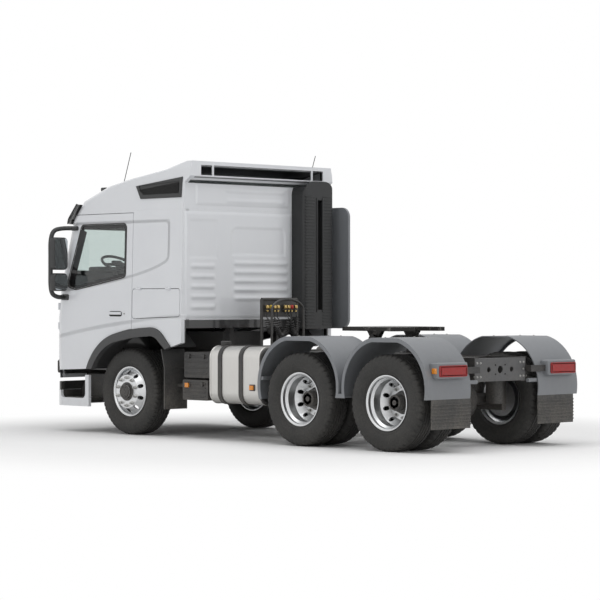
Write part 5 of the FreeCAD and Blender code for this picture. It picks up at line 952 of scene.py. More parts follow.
# Door and panel fittings
# A flush pull handle low on each door's rear half with its lock, and grained black plastic on the bumper's
# band, entry steps, roof fittings, grille, front posts and mirrors. The front wheels' arches are greyer.

gap_black = painted("gap_black", (0.006, 0.006, 0.006, 1), 0.7, film=0.2, reach=2.0, waves=(40.0, 0.0002),
                    tone=0.2)
trim_black = painted("trim_black", (0.026, 0.027, 0.028, 1), 0.46, film=0.3, reach=2.2, waves=(18.0, 0.0006),
                     grain=(1200.0, 0.00022), tone=0.15)
trim_grey = painted("arch_trim", (0.045, 0.046, 0.048, 1), 0.5, film=0.4, reach=2.0, waves=(12.0, 0.0008),
                    grain=(1000.0, 0.0002), dust=(0.16, 0.15, 0.14, 1), tone=0.12)
dress(trim_grey, "front_arches")
dress(trim_black, "bumper_band", "entry_steps", "roof_fittings", "grille", "front_posts", "mirrors_left",
      "mirrors_right")


def box_line(u_range, v_range, *radii):
    """A rounded box's outline, its corners from the low ones round: the radii repeat."""
    (left, right), (low, high) = u_range, v_range
    return rounded_line([(left, low, radii[0]), (right, low, radii[0]), (right, high, radii[-1]),
                         (left, high, radii[-1])])


handle_x, handle_z = ahead(0.13), 1.452
bar_section = [(-0.017, 0.004), (-0.016, 0.012), (-0.009, 0.018), (0.009, 0.018), (0.016, 0.012),
               (0.017, 0.004), (-0.017, 0.004)]
bar_line = [Vector((handle_x + 0.112 * (1 - 2 * step / 12), handle_z + 0.008)) for step in range(13)]
for label, side in both_sides:
    body = f"door_{label}_body"
    lay = lay_on_side(surface_of("door_left"), side)
    recess, bar, lock = bmesh.new(), bmesh.new(), bmesh.new()
    outline = box_line(about(handle_x, 0.12), (handle_z - 0.030, handle_z + 0.034), 0.028, 0.030)
    recess.faces.new([recess.verts.new(lay(*point, 0.0012)) for point in outline])
    add_shape(f"handle_recess_{label}", recess, gap_black, body, 0)
    rows = ribbon(bar, lay, bar_line, bar_section, closed=False)
    for row in (rows[0], rows[-1]):
        bar.faces.new(row[:-1])
    add_shape(f"handle_bar_{label}", bar, cab_paint, body, 30)
    spot = lay(handle_x - 0.160, handle_z + 0.004, 0.0)
    made = bmesh.ops.create_cone(lock, cap_ends=True, segments=24, radius1=0.012, radius2=0.0105, depth=0.006)
    turn = stand_along((0, side, 0), spot + Vector((0, side * 0.002, 0)))
    bmesh.ops.transform(lock, matrix=turn, verts=made["verts"])
    add_shape(f"door_lock_{label}", lock, zinc, body, 24)

# Mirrors
# Moulded black housings, a tall one over a low wide-angle one, on one bowed tubular arm with cast feet
# at the top and bottom of the door's front pillar, with silvered glass facing back.


def make_silver():
    """Silvered glass, its tone wavering a little."""
    finish, tree, shader = start_finish("mirror_glass", metal=1.0)
    silver = blend(tree, add_grain(tree, 5.0)["Tone"], (0.62, 0.66, 0.68, 1), (0.72, 0.76, 0.78, 1))
    join(tree, shader, {"Base Color": silver, "Roughness": 0.03})
    return finish


def swept_tube(name, points, radius, sides=10, smooth=6):
    """A round bar through points, its corners eased, as mesh data with closed ends."""
    curve = bpy.data.curves.new(name, "CURVE")
    curve.dimensions = "3D"
    spline = curve.splines.new("NURBS")
    spline.points.add(len(points) - 1)
    for spot, point in zip(spline.points, points):
        spot.co = (*point, 1)
    spline.order_u = 3
    spline.use_endpoint_u = True
    spline.resolution_u = smooth
    curve.bevel_depth = radius
    curve.bevel_resolution = max(sides // 4, 1)
    curve.use_fill_caps = True
    holder = bpy.data.objects.new(name, curve)
    mesh = bpy.data.meshes.new_from_object(holder)
    bpy.data.objects.remove(holder)
    bpy.data.curves.remove(curve)
    mesh.materials.clear()
    return mesh


mirror_glass = make_silver()
heads = ((1.990, 2.390), (1.730, 1.950))
head_x, head_y = (ahead(1.120) - 0.118, ahead(1.120)), (1.265, 1.492)
glass_x, glass_margin = head_x[0] - 0.0015, 0.016
arm_x, arm_y = ahead(1.120) - 0.030, 1.470
arm_line = [(ahead(0.93), 1.18, 2.500), (ahead(0.99), 1.26, 2.505), (ahead(1.07), 1.34, 2.500),
            (arm_x + 0.02, 1.42, 2.475), (arm_x + 0.012, arm_y, 2.36), (arm_x + 0.010, arm_y, 2.18),
            (arm_x + 0.010, arm_y, 1.96), (arm_x + 0.012, arm_y, 1.80), (arm_x + 0.02, 1.44, 1.690),
            (ahead(1.10), 1.36, 1.655), (ahead(1.12), 1.27, 1.655), (ahead(1.13), 1.18, 1.665)]
for label, side in both_sides:
    body = f"door_{label}_body"
    housings, feet, panes = bmesh.new(), bmesh.new(), bmesh.new()
    for head_z in heads:
        soft_block(housings, head_x, head_y, head_z, 0.042, 5, side)
        outline = box_line(*((low + glass_margin, high - glass_margin) for low, high in (head_y, head_z)),
                           0.035)
        panes.faces.new([panes.verts.new((glass_x, point.x * side, point.y)) for point in outline])
    housing = add_shape(f"mirror_housings_{label}", housings, trim_black, body, 30)
    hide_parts(f"mirrors_{label}")
    arm = swept_tube("mirror_arm", [(x, y * side, z) for x, y, z in arm_line], 0.028, 12)
    add_piece(f"mirror_arm_{label}", arm, trim_black, body, 40)
    for x, z, long, tall in ((ahead(0.93), 2.500, 0.13, 0.055), (ahead(1.10), 1.655, 0.15, 0.075)):
        soft_block(feet, about(x, long / 2), (1.165, 1.262), about(z, tall / 2), 0.024, 4, side)
    add_shape(f"mirror_feet_{label}", feet, trim_black, body, 30)
    add_shape(f"mirror_glass_{label}", panes, mirror_glass, body, 0)

# Back of the cab
# The back wall is pressed with level swages and a large recessed field; the moulded intake duct stands
# against it on the right, ribbed from top to bottom, beside the grey side deflector.


swage_end, swage_half = 0.05, 0.045


def eased(share):
    """A share between 0 and 1 with a soft start and end."""
    return share * share * (3 - 2 * share)


def relief_height(y, z):
    """How far the pressing stands in or out at a point of the back wall."""
    height = 0.0
    for low_y, high_y, depth, middles in ((-0.50, 0.43, 0.011, (2.06, 1.955, 1.850, 1.745, 1.640)),
                                          (0.70, 1.12, 0.009, (2.02, 1.90, 1.78, 1.66, 1.54))):
        for middle in middles:
            ends = min(max((y - low_y) / swage_end, 0), max((high_y - y) / swage_end, 0), 1)
            height += depth * ends * eased(max(1 - abs(z - middle) / swage_half, 0))
    edge = min((y + 0.46) / 0.04, (0.46 - y) / 0.04, (z - 2.14) / 0.04, (2.50 - z) / 0.04)
    corner = Vector((max(abs(y) - 0.36, 0), max(z - 2.40, 0))).length
    edge = min(edge, (0.10 - corner) / 0.04)
    height -= 0.007 * eased(min(max(edge, 0), 1))
    edge = min((y - 0.66) / 0.04, (1.14 - y) / 0.04, (z - 2.10) / 0.04, (2.58 - z) / 0.04)
    return height - 0.005 * eased(min(max(edge, 0), 1))


def roof_relief(y, z):
    """Two level swages across the back of the roof, their ends fading."""
    swage = max(1 - abs(abs(z - 2.86) - 0.06) / 0.035, 0)
    return 0.008 * swage * min(max((0.5 - abs(y - 0.05)) / swage_end, 0), 1)


def press_panel(name, y_range, z_range, relief):
    """A thin pressed sheet over the cab's back with its relief, fading to the wall at its edges."""
    pitch, stand, rim = 0.0125, 0.0085, 0.03
    shape = bmesh.new()
    columns = int((y_range[1] - y_range[0]) / pitch)
    rows = int((z_range[1] - z_range[0]) / pitch)
    grid = []
    for row in range(rows + 1):
        z = z_range[0] + (z_range[1] - z_range[0]) * row / rows
        line = []
        for column in range(columns + 1):
            y = y_range[0] + (y_range[1] - y_range[0]) * column / columns
            rise = min(min(y - y_range[0], y_range[1] - y, z - z_range[0], z_range[1] - z) / rim, 1)
            line.append(shape.verts.new((cab_back_x - 0.0005 - rise * (stand + relief(y, z)), y, z)))
        grid.append(line)
    bridge(shape, grid, round_points=False)
    add_shape(name, shape, back_paint, "cab", 40)


back_paint = make_cab_paint("cab_paint_back", lined=False)
press_panel("back_wall_pressing", (-0.55, 1.19), (1.40, 2.665), relief_height)
press_panel("roof_back_pressing", (-0.52, 1.02), (2.735, 2.985), roof_relief)

duct_plastic = painted("duct_plastic", (0.014, 0.015, 0.016, 1), 0.5, film=0.18, reach=3.4,
                       waves=(10.0, 0.001), grain=(1000.0, 0.0002), dust=(0.14, 0.13, 0.12, 1), tone=0.15)
dress(duct_plastic, "intake_duct")
dress(fender_grey, "side_deflector")
duct_low, duct_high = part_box("intake_duct")
duct_middle = (duct_low.y + duct_high.y) / 2
rib_count, rib_top = 44, 2.90
ribs = bmesh.new()
for index in range(rib_count):
    z = duct_low.z + 0.05 + (duct_high.z - duct_low.z - 0.12) * index / (rib_count - 1)
    if z <= rib_top:
        for y_low, y_high in ((duct_low.y + 0.012, duct_middle - 0.052),
                              (duct_middle + 0.052, duct_high.y - 0.012)):
            soft_block(ribs, (duct_low.x - 0.006, duct_low.x + 0.01), (y_low + 0.04, y_high), about(z, 0.008),
                       0.004, 2)
for y in about(duct_middle, 0.05):
    soft_block(ribs, (duct_low.x - 0.009, duct_low.x + 0.012), about(y, 0.008),
               (duct_low.z + 0.2, duct_high.z - 0.2), 0.005, 3)
add_shape("duct_ribs", ribs, duct_plastic, "cab", 30)

# Roof vents, visor and lamps
# A black woven mesh fills each roof vent's moulded frame; the visor over the windscreen is smoked
# plastic; a small dark lamp stands on each edge of the roof.

dress(coated("visor_smoked", (0.008, 0.009, 0.010, 1), (0.018, 0.019, 0.020, 1),
             (4.0, 0.0005, 900.0, 0.00002), (0.16, 0.15, 4.0), coat=0.25, specular=0.3), "sun_visor")
vent_columns, vent_rows = 58, 12
low_back, low_front, high_front, high_back = (
    (ahead(-1.025) + 0.06, 2.823 + 0.055), (ahead(-0.193) - 0.145, 2.823 + 0.055),
    (ahead(-0.193) - 0.075, 2.968 - 0.035), (ahead(-1.025) + 0.06, 3.065 - 0.062))
vent_faces, roof_faces = surface_of("roof_fittings"), surface_of("roof_cap")
roof_lamps = bmesh.new()
for label, side in both_sides:
    lay = lay_on_side(vent_faces, side)
    wires = bmesh.new()
    grid = []
    for row in range(vent_rows + 1):
        up = row / vent_rows
        line = []
        for column in range(vent_columns + 1):
            along = column / vent_columns
            low_x = low_back[0] + (low_front[0] - low_back[0]) * along
            high_x = high_back[0] + (high_front[0] - high_back[0]) * along
            bottom, top = low_back[1], high_back[1] + (high_front[1] - high_back[1]) * along
            line.append(wires.verts.new(lay(low_x + (high_x - low_x) * up, bottom + (top - bottom) * up,
                                            0.010)))
        grid.append(line)
    for row in range(vent_rows):
        for column in range(vent_columns):
            a, b = grid[row][column:column + 2]
            d, c = grid[row + 1][column:column + 2]
            for corners in (((a, b, c), (a, c, d)) if (row + column) % 2 else ((a, b, d), (b, c, d))):
                wires.faces.new(corners)
    vent = add_shape(f"vent_mesh_{label}", wires, gap_black, "cab", 0)
    vent.modifiers.new("wires", "WIREFRAME").thickness = 0.004
    hit = roof_faces.ray_cast(Vector((ahead(0.56), 1.06 * side, 5.0)), Vector((0, 0, -1)))[0]
    soft_block(roof_lamps, about(hit.x, 0.045), about(hit.y, 0.028), (hit.z - 0.012, hit.z + 0.034), 0.014)
add_shape("roof_side_lamps", roof_lamps, trim_black, "cab", 30)

# Lower front
# A dark slatted grille between painted corners, each with a clear-lensed headlamp over a fog lamp in the
# black band, a blank number plate on the bumper, wipers below the windscreen and non-slip entry treads.


def make_reflector():
    """Bright fluted reflector seen through a clear lens."""
    finish, tree, shader = start_finish("lamp_reflector", metal=0.9, coat=1.0)
    both = calc(tree, "MULTIPLY", bands(tree, 34.0, "Y"), bands(tree, 12.0, "Z"))
    join(tree, shader, {"Base Color": blend(tree, both, (0.22, 0.23, 0.24, 1), (0.80, 0.82, 0.85, 1)),
                        "Roughness": ramp(tree, both, low=0.12, high=0.3),
                        "Normal": bump(tree, both, 0.5, 0.003)})
    return finish


def face_ring(shape, lay, middle, height, radius, outline, filled=False):
    """Adds a ring on the vehicle's front: outline points are share of the radius and how far out."""
    steps = 32
    rings = []
    for share, proud in outline:
        ring = []
        for step in range(steps):
            across, up = on_circle(radius * share, step, steps)
            ring.append(shape.verts.new(lay(middle + across, height + up, proud)))
        rings.append(ring)
    bridge(shape, rings)
    if filled:
        shape.faces.new(rings[-1])


chrome = painted("lamp_chrome", (0.62, 0.63, 0.64, 1), 0.12, metal=1.0, film=0.15, waves=(30.0, 0.0001),
                 tone=0.08)
plate_white = painted("plate_blank", (0.72, 0.72, 0.70, 1), 0.35, film=0.3, waves=(20.0, 0.0001), tone=0.03)
dress(make_reflector(), "headlamps")
lay = lay_on_front(front_faces)
band_lay = lay_on_front(surface_of("bumper_band"))
lamp_z, fog_y, fog_z, fog_radius = 0.812, 0.93, 0.561, 0.044
lamp_line = [(0.790, 0.720, 0.018), (1.170, 0.720, 0.018), (1.170, 0.900, 0.018), (0.790, 0.900, 0.018)]
bezels, domes, fog_rims, fogs, rims = (bmesh.new() for _ in range(5))
for _, side in both_sides:
    for y, radius in ((0.860, 0.052), (0.985, 0.060)):
        face_ring(bezels, lay, y * side, lamp_z, radius,
                  ((0.82, 0.001), (0.86, 0.006), (0.98, 0.006), (1.0, 0.0005)))
        face_ring(domes, lay, y * side, lamp_z, radius,
                  ((0.80, 0.002), (0.66, 0.007), (0.45, 0.0105), (0.22, 0.012)), filled=True)
    face_ring(fog_rims, band_lay, fog_y * side, fog_z, fog_radius,
              ((0.78, 0.001), (0.84, 0.007), (0.98, 0.007), (1.0, 0.0005)))
    face_ring(fogs, band_lay, fog_y * side, fog_z, fog_radius, ((0.78, 0.002), (0.5, 0.005), (0.2, 0.0065)),
              filled=True)
    corners = [(y * side, z, r) for y, z, r in lamp_line[::side]]
    ribbon(rims, lay, even_line(rounded_line(corners), 0.02),
           [(-0.006, 0.0004), (-0.003, 0.004), (0.006, 0.004), (0.009, 0.0004)])
add_shape("headlamp_bezels", bezels, chrome, "cab", 30)
add_shape("headlamp_domes", domes, lens_clear, "cab", 40)
add_shape("fog_rims", fog_rims, chrome, "chassis", 30)
add_shape("fog_lenses", fogs, lens_clear, "chassis", 40)
add_shape("headlamp_rims", rims, trim_black, "cab", 40)

bar_z, bar_pitch, bar_reach, bar_steps = 0.738, 0.080, 0.62, 32
grille_lay = lay_on_front(surface_of("grille"))
bars = bmesh.new()
for index in range(6):
    z = bar_z + bar_pitch * index
    for step in range(bar_steps + 1):
        y = -bar_reach + 2 * bar_reach * step / bar_steps
        x = grille_lay(y, z, 0.0).x
        soft_block(bars, (x - 0.002, x + 0.010), about(y, 0.003), about(z, 0.0225), 0.0015, 1)
add_shape("grille_bars", bars, gap_black, "cab", 0)

plate = bmesh.new()
plate_lay = lay_on_front(surface_of("bumper"))
face = [plate_lay(*point, 0.006) for point in box_line((-0.26, 0.26), (0.360, 0.470), 0.008)]
front_x = max(point.x for point in face)
back, front = ([plate.verts.new((x, point.y, point.z)) for point in face] for x in (front_x - 0.004, front_x))
plate.faces.new(front)
bridge(plate, [back, front])
add_shape("number_plate", plate, plate_white, "chassis", 30)

wipers = bmesh.new()
screen_lay = lay_on_front(screen_faces)
for pivot, tip in ((-0.86, -0.10), (0.04, 0.82)):
    middle = (pivot + tip) / 2
    for step in range(24):
        y = pivot + (tip - pivot) * step / 23
        z = 1.765 + 0.018 * math.sin(math.pi * step / 23)
        x = screen_lay(y, z, 0.012).x
        soft_block(wipers, (x - 0.012, x + 0.006), about(y, 0.024), about(z, 0.008), 0.004, 1)
    x = lay(pivot, 1.722, 0.0).x
    soft_block(wipers, (x - 0.004, x + 0.026), about(pivot, 0.026), (1.700, 1.748), 0.010, 2)
    x = screen_lay(middle, 1.80, 0.02).x
    soft_block(wipers, about(x, 0.006), (pivot - 0.01, middle), (1.772, 1.786), 0.005, 1)
add_shape("wipers", wipers, gap_black, "cab", 30)

treads = bmesh.new()
for _, side in both_sides:
    for index in range(14):
        soft_block(treads, about(ahead(0.74) + 0.030 * index, 0.006), (0.905, 1.190), (0.4195, 0.4255), 0.002,
                   1, side)
add_shape("step_treads", treads, zinc, "chassis", 20)

# Hose stand and pipework
# A tubular hoop over the stand carries the couplings for the trailer's air and power lines, with coiled hoses
# hanging between them; air pipes and valves are clipped along the left rail below.


def coiled_line(start, end, sag, shift):
    """A coiled hose's centreline, hanging between two points, with a short straight end at each."""
    turns, steps, coil_radius, straight, ease_share = 22, 18, 0.029, 0.07, 0.04
    start, end = Vector(start), Vector(end)
    count = turns * steps
    line = [start - Vector((0, 0, straight * step / 5)) for step in range(5)]
    for index in range(count + 1):
        share = index / count
        middle = start.lerp(end, share) - Vector((0, 0, straight + sag * 4 * share * (1 - share)))
        ease = min(share / ease_share, (1 - share) / ease_share, 1)
        slope = -sag * 4 * (1 - 2 * share)
        along = (end - start + Vector((0, 0, slope))).normalized()
        across = Vector((1, 0, 0))
        up = along.cross(across).normalized()
        beside, above = on_circle(1, index, steps)
        line.append(middle + (across * beside + up * above) * coil_radius * ease)
    line += [end - Vector((0, 0, straight * step / 5)) for step in range(4, -1, -1)]
    for point in line:
        point.x += shift * min((point - start).length / straight, (point - end).length / straight, 1)
    return line


fitting_yellow = painted("fitting_yellow", (0.62, 0.42, 0.02, 1), 0.4, film=0.3, reach=3.0, tone=0.15)
fitting_red = painted("fitting_red", (0.48, 0.02, 0.015, 1), 0.4, film=0.3, reach=3.0, tone=0.15)
hose_black = painted("hose_black", (0.014, 0.014, 0.015, 1), 0.42, film=0.2, reach=3.0, waves=(120.0, 0.0003),
                     tone=0.2)
brass = painted("brass", (0.55, 0.40, 0.16, 1), 0.32, metal=1.0, film=0.3, reach=2.0, waves=(80.0, 0.0002),
                tone=0.15)
stand_face_x = surface_of("hose_stand").ray_cast(Vector((-5.0, 0.0, 1.52)), Vector((1, 0, 0)))[0].x
hoop_x, hoop_foot_z = stand_face_x - 0.135, deck_high.z - 0.01
hoop_half, hoop_z, hoop_rise = 0.262, 1.50, 0.13
arch = [(hoop_x, -hoop_half * math.cos(math.pi * step / 12),
         hoop_z + hoop_rise * math.sin(math.pi * step / 12)) for step in range(1, 12)]
hoop = [(hoop_x, -hoop_half, hoop_foot_z), (hoop_x, -hoop_half, hoop_z), *arch, (hoop_x, hoop_half, hoop_z),
        (hoop_x, hoop_half, hoop_foot_z)]
add_piece("stand_hoop", swept_tube("stand_hoop", hoop, 0.015, 12), stand_black, "chassis",
          50)

couplings, caps_red, caps_yellow, collars = (bmesh.new() for _ in range(4))
coupling_z = 1.478
for y, caps in ((-0.235, collars), (-0.17, caps_red), (-0.115, collars), (-0.06, collars), (0.06, collars),
                (0.115, collars), (0.17, caps_yellow), (0.235, collars)):
    soft_block(couplings, (stand_face_x - 0.016, stand_face_x + 0.002), about(y, 0.024), (coupling_z, 1.566),
               0.006, 2)
    soft_block(caps, (stand_face_x - 0.052, stand_face_x - 0.014), about(y, 0.020), (1.515, 1.560), 0.011, 3)
    bolt_head(collars, (stand_face_x - 0.034, y, 1.500), (0, 0, -1), 0.013, 0.022)
for name, shape, finish in (("hose_couplings", couplings, stand_black),
                            ("couplings_red", caps_red, fitting_red),
                            ("couplings_yellow", caps_yellow, fitting_yellow),
                            ("coupling_collars", collars, brass)):
    add_shape(name, shape, finish, "chassis", 30)

coil_x = stand_face_x - 0.026
for name, start_y, end_y, shift, sag in (("hose_coil_red", -0.17, 0.06, 0.0, 0.19),
                                         ("hose_coil_yellow", -0.06, 0.17, -0.062, 0.21),
                                         ("cable_coil_left", 0.115, 0.235, 0.0, 0.17),
                                         ("cable_coil_right", -0.115, -0.235, -0.045, 0.19)):
    line = coiled_line((coil_x, start_y, coupling_z), (coil_x, end_y, coupling_z), sag, shift)
    hose = add_piece(name, swept_tube(name, line, 0.0055, 8, 1), hose_black, "chassis", 60)

pipe_y, valve_top = 0.432, 0.99
valves = bmesh.new()
for index, (first_y, z) in enumerate(((pipe_y, 0.985), (pipe_y + 0.03, 0.962), (pipe_y, 0.939))):
    line = [Vector(point) for point in ((ahead(-1.50), first_y, z), (ahead(-1.30), pipe_y + 0.03, z),
                                        (ahead(-1.10), pipe_y + 0.03, z - 0.02),
                                        (ahead(-0.90), pipe_y + 0.02, z - 0.02))]
    name = f"air_pipe_{index}"
    add_piece(name, swept_tube(name, line, 0.006, 8), hose_black, "chassis", 50)
    x = ahead(-1.46) + 0.12 * index
    soft_block(valves, about(x, 0.035), (0.426, 0.500), (0.905, valve_top), 0.014, 3)
    bolt_head(valves, (x, 0.463, valve_top - 0.001), (0, 0, 1), 0.020, 0.024)
    bolt_head(valves, (x + 0.02, 0.499, 0.945), (0, 1, 0), 0.013, 0.016)
add_shape("air_valves", valves, zinc, "chassis", 30)

# Exhaust box
# A folded steel box under heat shields on the right, slotted along its side and strapped to the rail.

box_low, box_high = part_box("exhaust_box")
shield_steel = painted("shield_steel", (0.34, 0.33, 0.31, 1), 0.38, metal=0.9, film=0.55, reach=1.4,
                       waves=(10.0, 0.0008), dust=(0.16, 0.14, 0.12, 1), tone=0.3)
dress(shield_steel, "exhaust_box")
slots, straps = bmesh.new(), bmesh.new()
face_y, slot_rows, slot_columns = box_low.y, 5, 6
for row in range(slot_rows):
    z = box_low.z + 0.14 + 0.085 * row
    for column in range(slot_columns):
        x = box_low.x + 0.10 + (box_high.x - box_low.x - 0.20) * (column + 0.5) / slot_columns
        soft_block(slots, about(x, 0.042), (face_y - 0.0015, face_y + 0.004), about(z, 0.009), 0.002, 1)
for x in (box_low.x + 0.05, box_high.x - 0.05):
    soft_block(straps, about(x, 0.016), (face_y - 0.004, face_y + 0.004),
               (box_low.z + 0.05, box_high.z - 0.05), 0.002, 1)
    for z in (box_low.z + 0.08, box_high.z - 0.08):
        bolt_head(straps, (x, face_y - 0.003, z), (0, -1, 0), 0.012, 0.008)
add_shape("exhaust_slots", slots, gap_black, "chassis", 0)
add_shape("exhaust_straps", straps, shield_steel, "chassis", 30)

# Inside the cab
# Two tall suspension seats and a bunk in dark woven cloth with sewn channels, and a grained dashboard with
# its instrument hood, vents and a padded steering wheel, all seen through the windows.


def make_woven(name, dark, light):
    """Woven cloth: threads over and under each other, soft sheen, a little fading."""
    finish, tree, shader = start_finish(name, sheen=0.35, specular=0.25)
    warp, weft, cross = (bands(tree, 150.0, way) for way in "XZY")
    threads = calc(tree, "MULTIPLY", calc(tree, "MAXIMUM", warp, weft), cross)
    fading = noise(tree, place_on_vehicle(tree), 7.0, 4.0)
    both = calc(tree, "MULTIPLY_ADD", threads, fading, 0.1)
    join(tree, shader, {"Base Color": blend(tree, both, dark, light),
                        "Roughness": ramp(tree, fading, low=0.75, high=0.95),
                        "Normal": bump(tree, threads, 0.25, 0.0006)})
    return finish


def even_mesh(shape, voxel):
    """The same closed form with points at an even pitch."""
    holder = bpy.data.objects.new("even", finish_mesh("even", shape))
    bpy.context.collection.objects.link(holder)
    remesh = holder.modifiers.new("even", "REMESH")
    remesh.mode = "VOXEL"
    remesh.voxel_size = voxel
    made = bpy.data.meshes.new_from_object(holder.evaluated_get(bpy.context.evaluated_depsgraph_get()))
    bpy.data.objects.remove(holder)
    return made


def swell(mesh, cap):
    """Blows the form up as stuffed cloth, with no point moved further than the cap."""
    pressure, frames = 4.0, 20
    start = [vert.co.copy() for vert in mesh.vertices]
    holder = bpy.data.objects.new("swelling", mesh)
    bpy.context.collection.objects.link(holder)
    cloth = holder.modifiers.new("cloth", "CLOTH")
    cloth.settings.use_pressure = True
    cloth.settings.uniform_pressure_force = pressure
    cloth.settings.effector_weights.gravity = 0
    cloth.settings.quality = 4
    cloth.point_cache.frame_end = frames
    stage = bpy.context.scene
    for step in range(1, frames + 1):
        stage.frame_set(step)
        bpy.context.view_layer.update()
    swollen = holder.evaluated_get(bpy.context.evaluated_depsgraph_get()).to_mesh()
    places = [vert.co.copy() for vert in swollen.vertices]
    stage.frame_set(1)
    bpy.data.objects.remove(holder)
    for vert, before, after in zip(mesh.vertices, start, places):
        move = after - before
        vert.co = before + (move if move.length <= cap else move.normalized() * cap)
    return mesh


def sew(mesh, seams, depth, width):
    """Pulls the cloth in along seams: each gives a point's distance, or nothing where it doesn't run."""
    normals = [vert.normal.copy() for vert in mesh.vertices]
    for vert, normal in zip(mesh.vertices, normals):
        pull = 0.0
        for seam in seams:
            reach = seam(vert.co)
            if reach is not None and abs(reach) < width * 3:
                pull = max(pull, math.exp(-(reach / width) ** 2))
        vert.co -= normal * depth * pull
    return mesh


seat_cloth = make_woven("seat_cloth", (0.026, 0.026, 0.028, 1), (0.046, 0.047, 0.052, 1))
bunk_cloth = make_woven("bunk_cloth", (0.10, 0.102, 0.11, 1), (0.14, 0.14, 0.15, 1))
dash_plastic = painted("dash_plastic", (0.03, 0.031, 0.033, 1), 0.55, film=0.1, reach=3.0,
                       waves=(20.0, 0.0004), grain=(800.0, 0.0001), tone=0.15)
dress(dash_plastic, "dashboard")
seat_middle, seat_pitch, seam_depth, seam_width = 0.625, 0.012, 0.012, 0.010
cushion, rest, mattress = bmesh.new(), bmesh.new(), bmesh.new()
soft_block(cushion, (ahead(0.12), ahead(0.605)), about(seat_middle, 0.235), (1.552, 1.672), 0.045, 4)
cushion = sew(swell(even_mesh(cushion, seat_pitch), 0.018), [
    lambda co: co.y - seat_middle - 0.14 if co.z > 1.6 else None,
    lambda co: co.y - seat_middle + 0.14 if co.z > 1.6 else None,
    lambda co: co.x - ahead(0.27) if abs(co.y - seat_middle) < 0.14 and co.z > 1.6 else None,
    lambda co: co.x - ahead(0.43) if abs(co.y - seat_middle) < 0.14 and co.z > 1.6 else None],
              seam_depth, seam_width)
soft_block(rest, (ahead(0.085), ahead(0.200)), about(seat_middle, 0.225), (1.62, 2.515), 0.045, 4)
lean, lean_from, neck_from = 0.11 / 0.85, 1.54, 0.62
for vert in rest.verts:
    up = vert.co.z - lean_from
    vert.co.x -= lean * up
    narrow = min(max((up - neck_from) / 0.10, 0), 1)
    vert.co.y = seat_middle + (vert.co.y - seat_middle) * (1 - 0.34 * narrow)
rest = sew(swell(even_mesh(rest, seat_pitch), 0.016), [
    lambda co: co.y - seat_middle - 0.135 if co.z < 2.13 else None,
    lambda co: co.y - seat_middle + 0.135 if co.z < 2.13 else None,
    lambda co: co.z - 2.16,
    lambda co: co.z - 1.83 if abs(co.y - seat_middle) < 0.135 else None,
    lambda co: co.z - 1.99 if abs(co.y - seat_middle) < 0.135 else None], seam_depth, seam_width)
soft_block(mattress, (ahead(-0.99), ahead(-0.345)), (-1.085, 1.085), (1.665, 1.795), 0.05, 4)
mattress = sew(swell(even_mesh(mattress, 0.022), 0.014), [
    lambda co: co.y - 0.37, lambda co: co.y + 0.37, lambda co: co.z - 1.73], 0.009, 0.016)
bunk_pad = add_piece("bunk_mattress", mattress, bunk_cloth, "cab", 0)
mattress.shade_smooth()
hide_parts("bunk")
bunk_base = bmesh.new()
soft_block(bunk_base, (ahead(-1.0), ahead(-0.335)), (-1.11, 1.11), (1.385, 1.650), 0.02)
add_shape("bunk_base", bunk_base, dash_plastic, "cab", 30)

for label, side in both_sides:
    for name, mesh in (("seat_cushion", cushion), ("seat_rest", rest)):
        copy = mesh.copy()
        if side < 0:
            for vert in copy.vertices:
                vert.co.y = -vert.co.y
            copy.flip_normals()
        copy.shade_smooth()
        piece = add_piece(f"{name}_{label}", copy, seat_cloth, "cab", 0)
        piece.modifiers.new("finer", "SUBSURF").levels = 1
        if side > 0 and name == "seat_cushion":
            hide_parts("seats")
    base = bmesh.new()
    soft_block(base, (ahead(0.21), ahead(0.55)), about(seat_middle, 0.17), (1.342, 1.375), 0.008, 2, side)
    for index in range(5):
        grow, z = 0.012 * (index % 2), index * 0.026
        soft_block(base, (ahead(0.225) - grow, ahead(0.535) + grow),
                   (seat_middle - 0.15 - grow, seat_middle + 0.15 + grow), (1.372 + z, 1.400 + z), 0.012, 2,
                   side)
    soft_block(base, (ahead(0.14), ahead(0.58)), about(seat_middle, 0.22), (1.502, 1.540), 0.014, 3, side)
    inboard = seat_middle - 0.262
    soft_block(base, (ahead(0.05), ahead(0.40)), (inboard, inboard + 0.045), (1.86, 1.91), 0.02, 3, side)
    add_shape(f"seat_base_{label}", base, dash_plastic, "cab", 30)

dash_trim, wheel_pad = bmesh.new(), bmesh.new()
soft_block(dash_trim, (ahead(0.905), ahead(1.10)), (0.36, 0.88), (1.965, 2.035), 0.03, 4)
soft_block(dash_trim, (ahead(0.885), ahead(0.93)), (-0.22, 0.24), (1.73, 1.955), 0.012, 3)
for y in (-0.92, -0.66, 0.96):
    for index in range(5):
        z = 1.86 + index * 0.014
        soft_block(dash_trim, (ahead(0.892), ahead(0.925)), about(y, 0.075), (z, z + 0.006), 0.002, 1)
add_shape("dash_trim", dash_trim, dash_plastic, "cab", 30)
soft_block(wheel_pad, (-0.085, 0.085), (-0.075, 0.075), (-0.022, 0.022), 0.02, 4)
for y_range in ((-0.215, -0.06), (0.06, 0.215)):
    soft_block(wheel_pad, (-0.02, 0.028), y_range, (-0.012, 0.010), 0.008, 2)
hub_turn = Matrix.Translation((ahead(0.8), 0.62, 2.06)) @ Matrix.Rotation(math.radians(-28), 4, "Y")
bmesh.ops.transform(wheel_pad, matrix=hub_turn, verts=wheel_pad.verts)
add_shape("wheel_pad", wheel_pad, dash_plastic, "cab", 30)

# Floor, backdrop, light and camera
# A plain white studio: one seamless pale floor that fades into the backdrop, a broad soft light above, two
# softer ones from the sides, and a long lens level with the middle of the cab, behind and to the left.


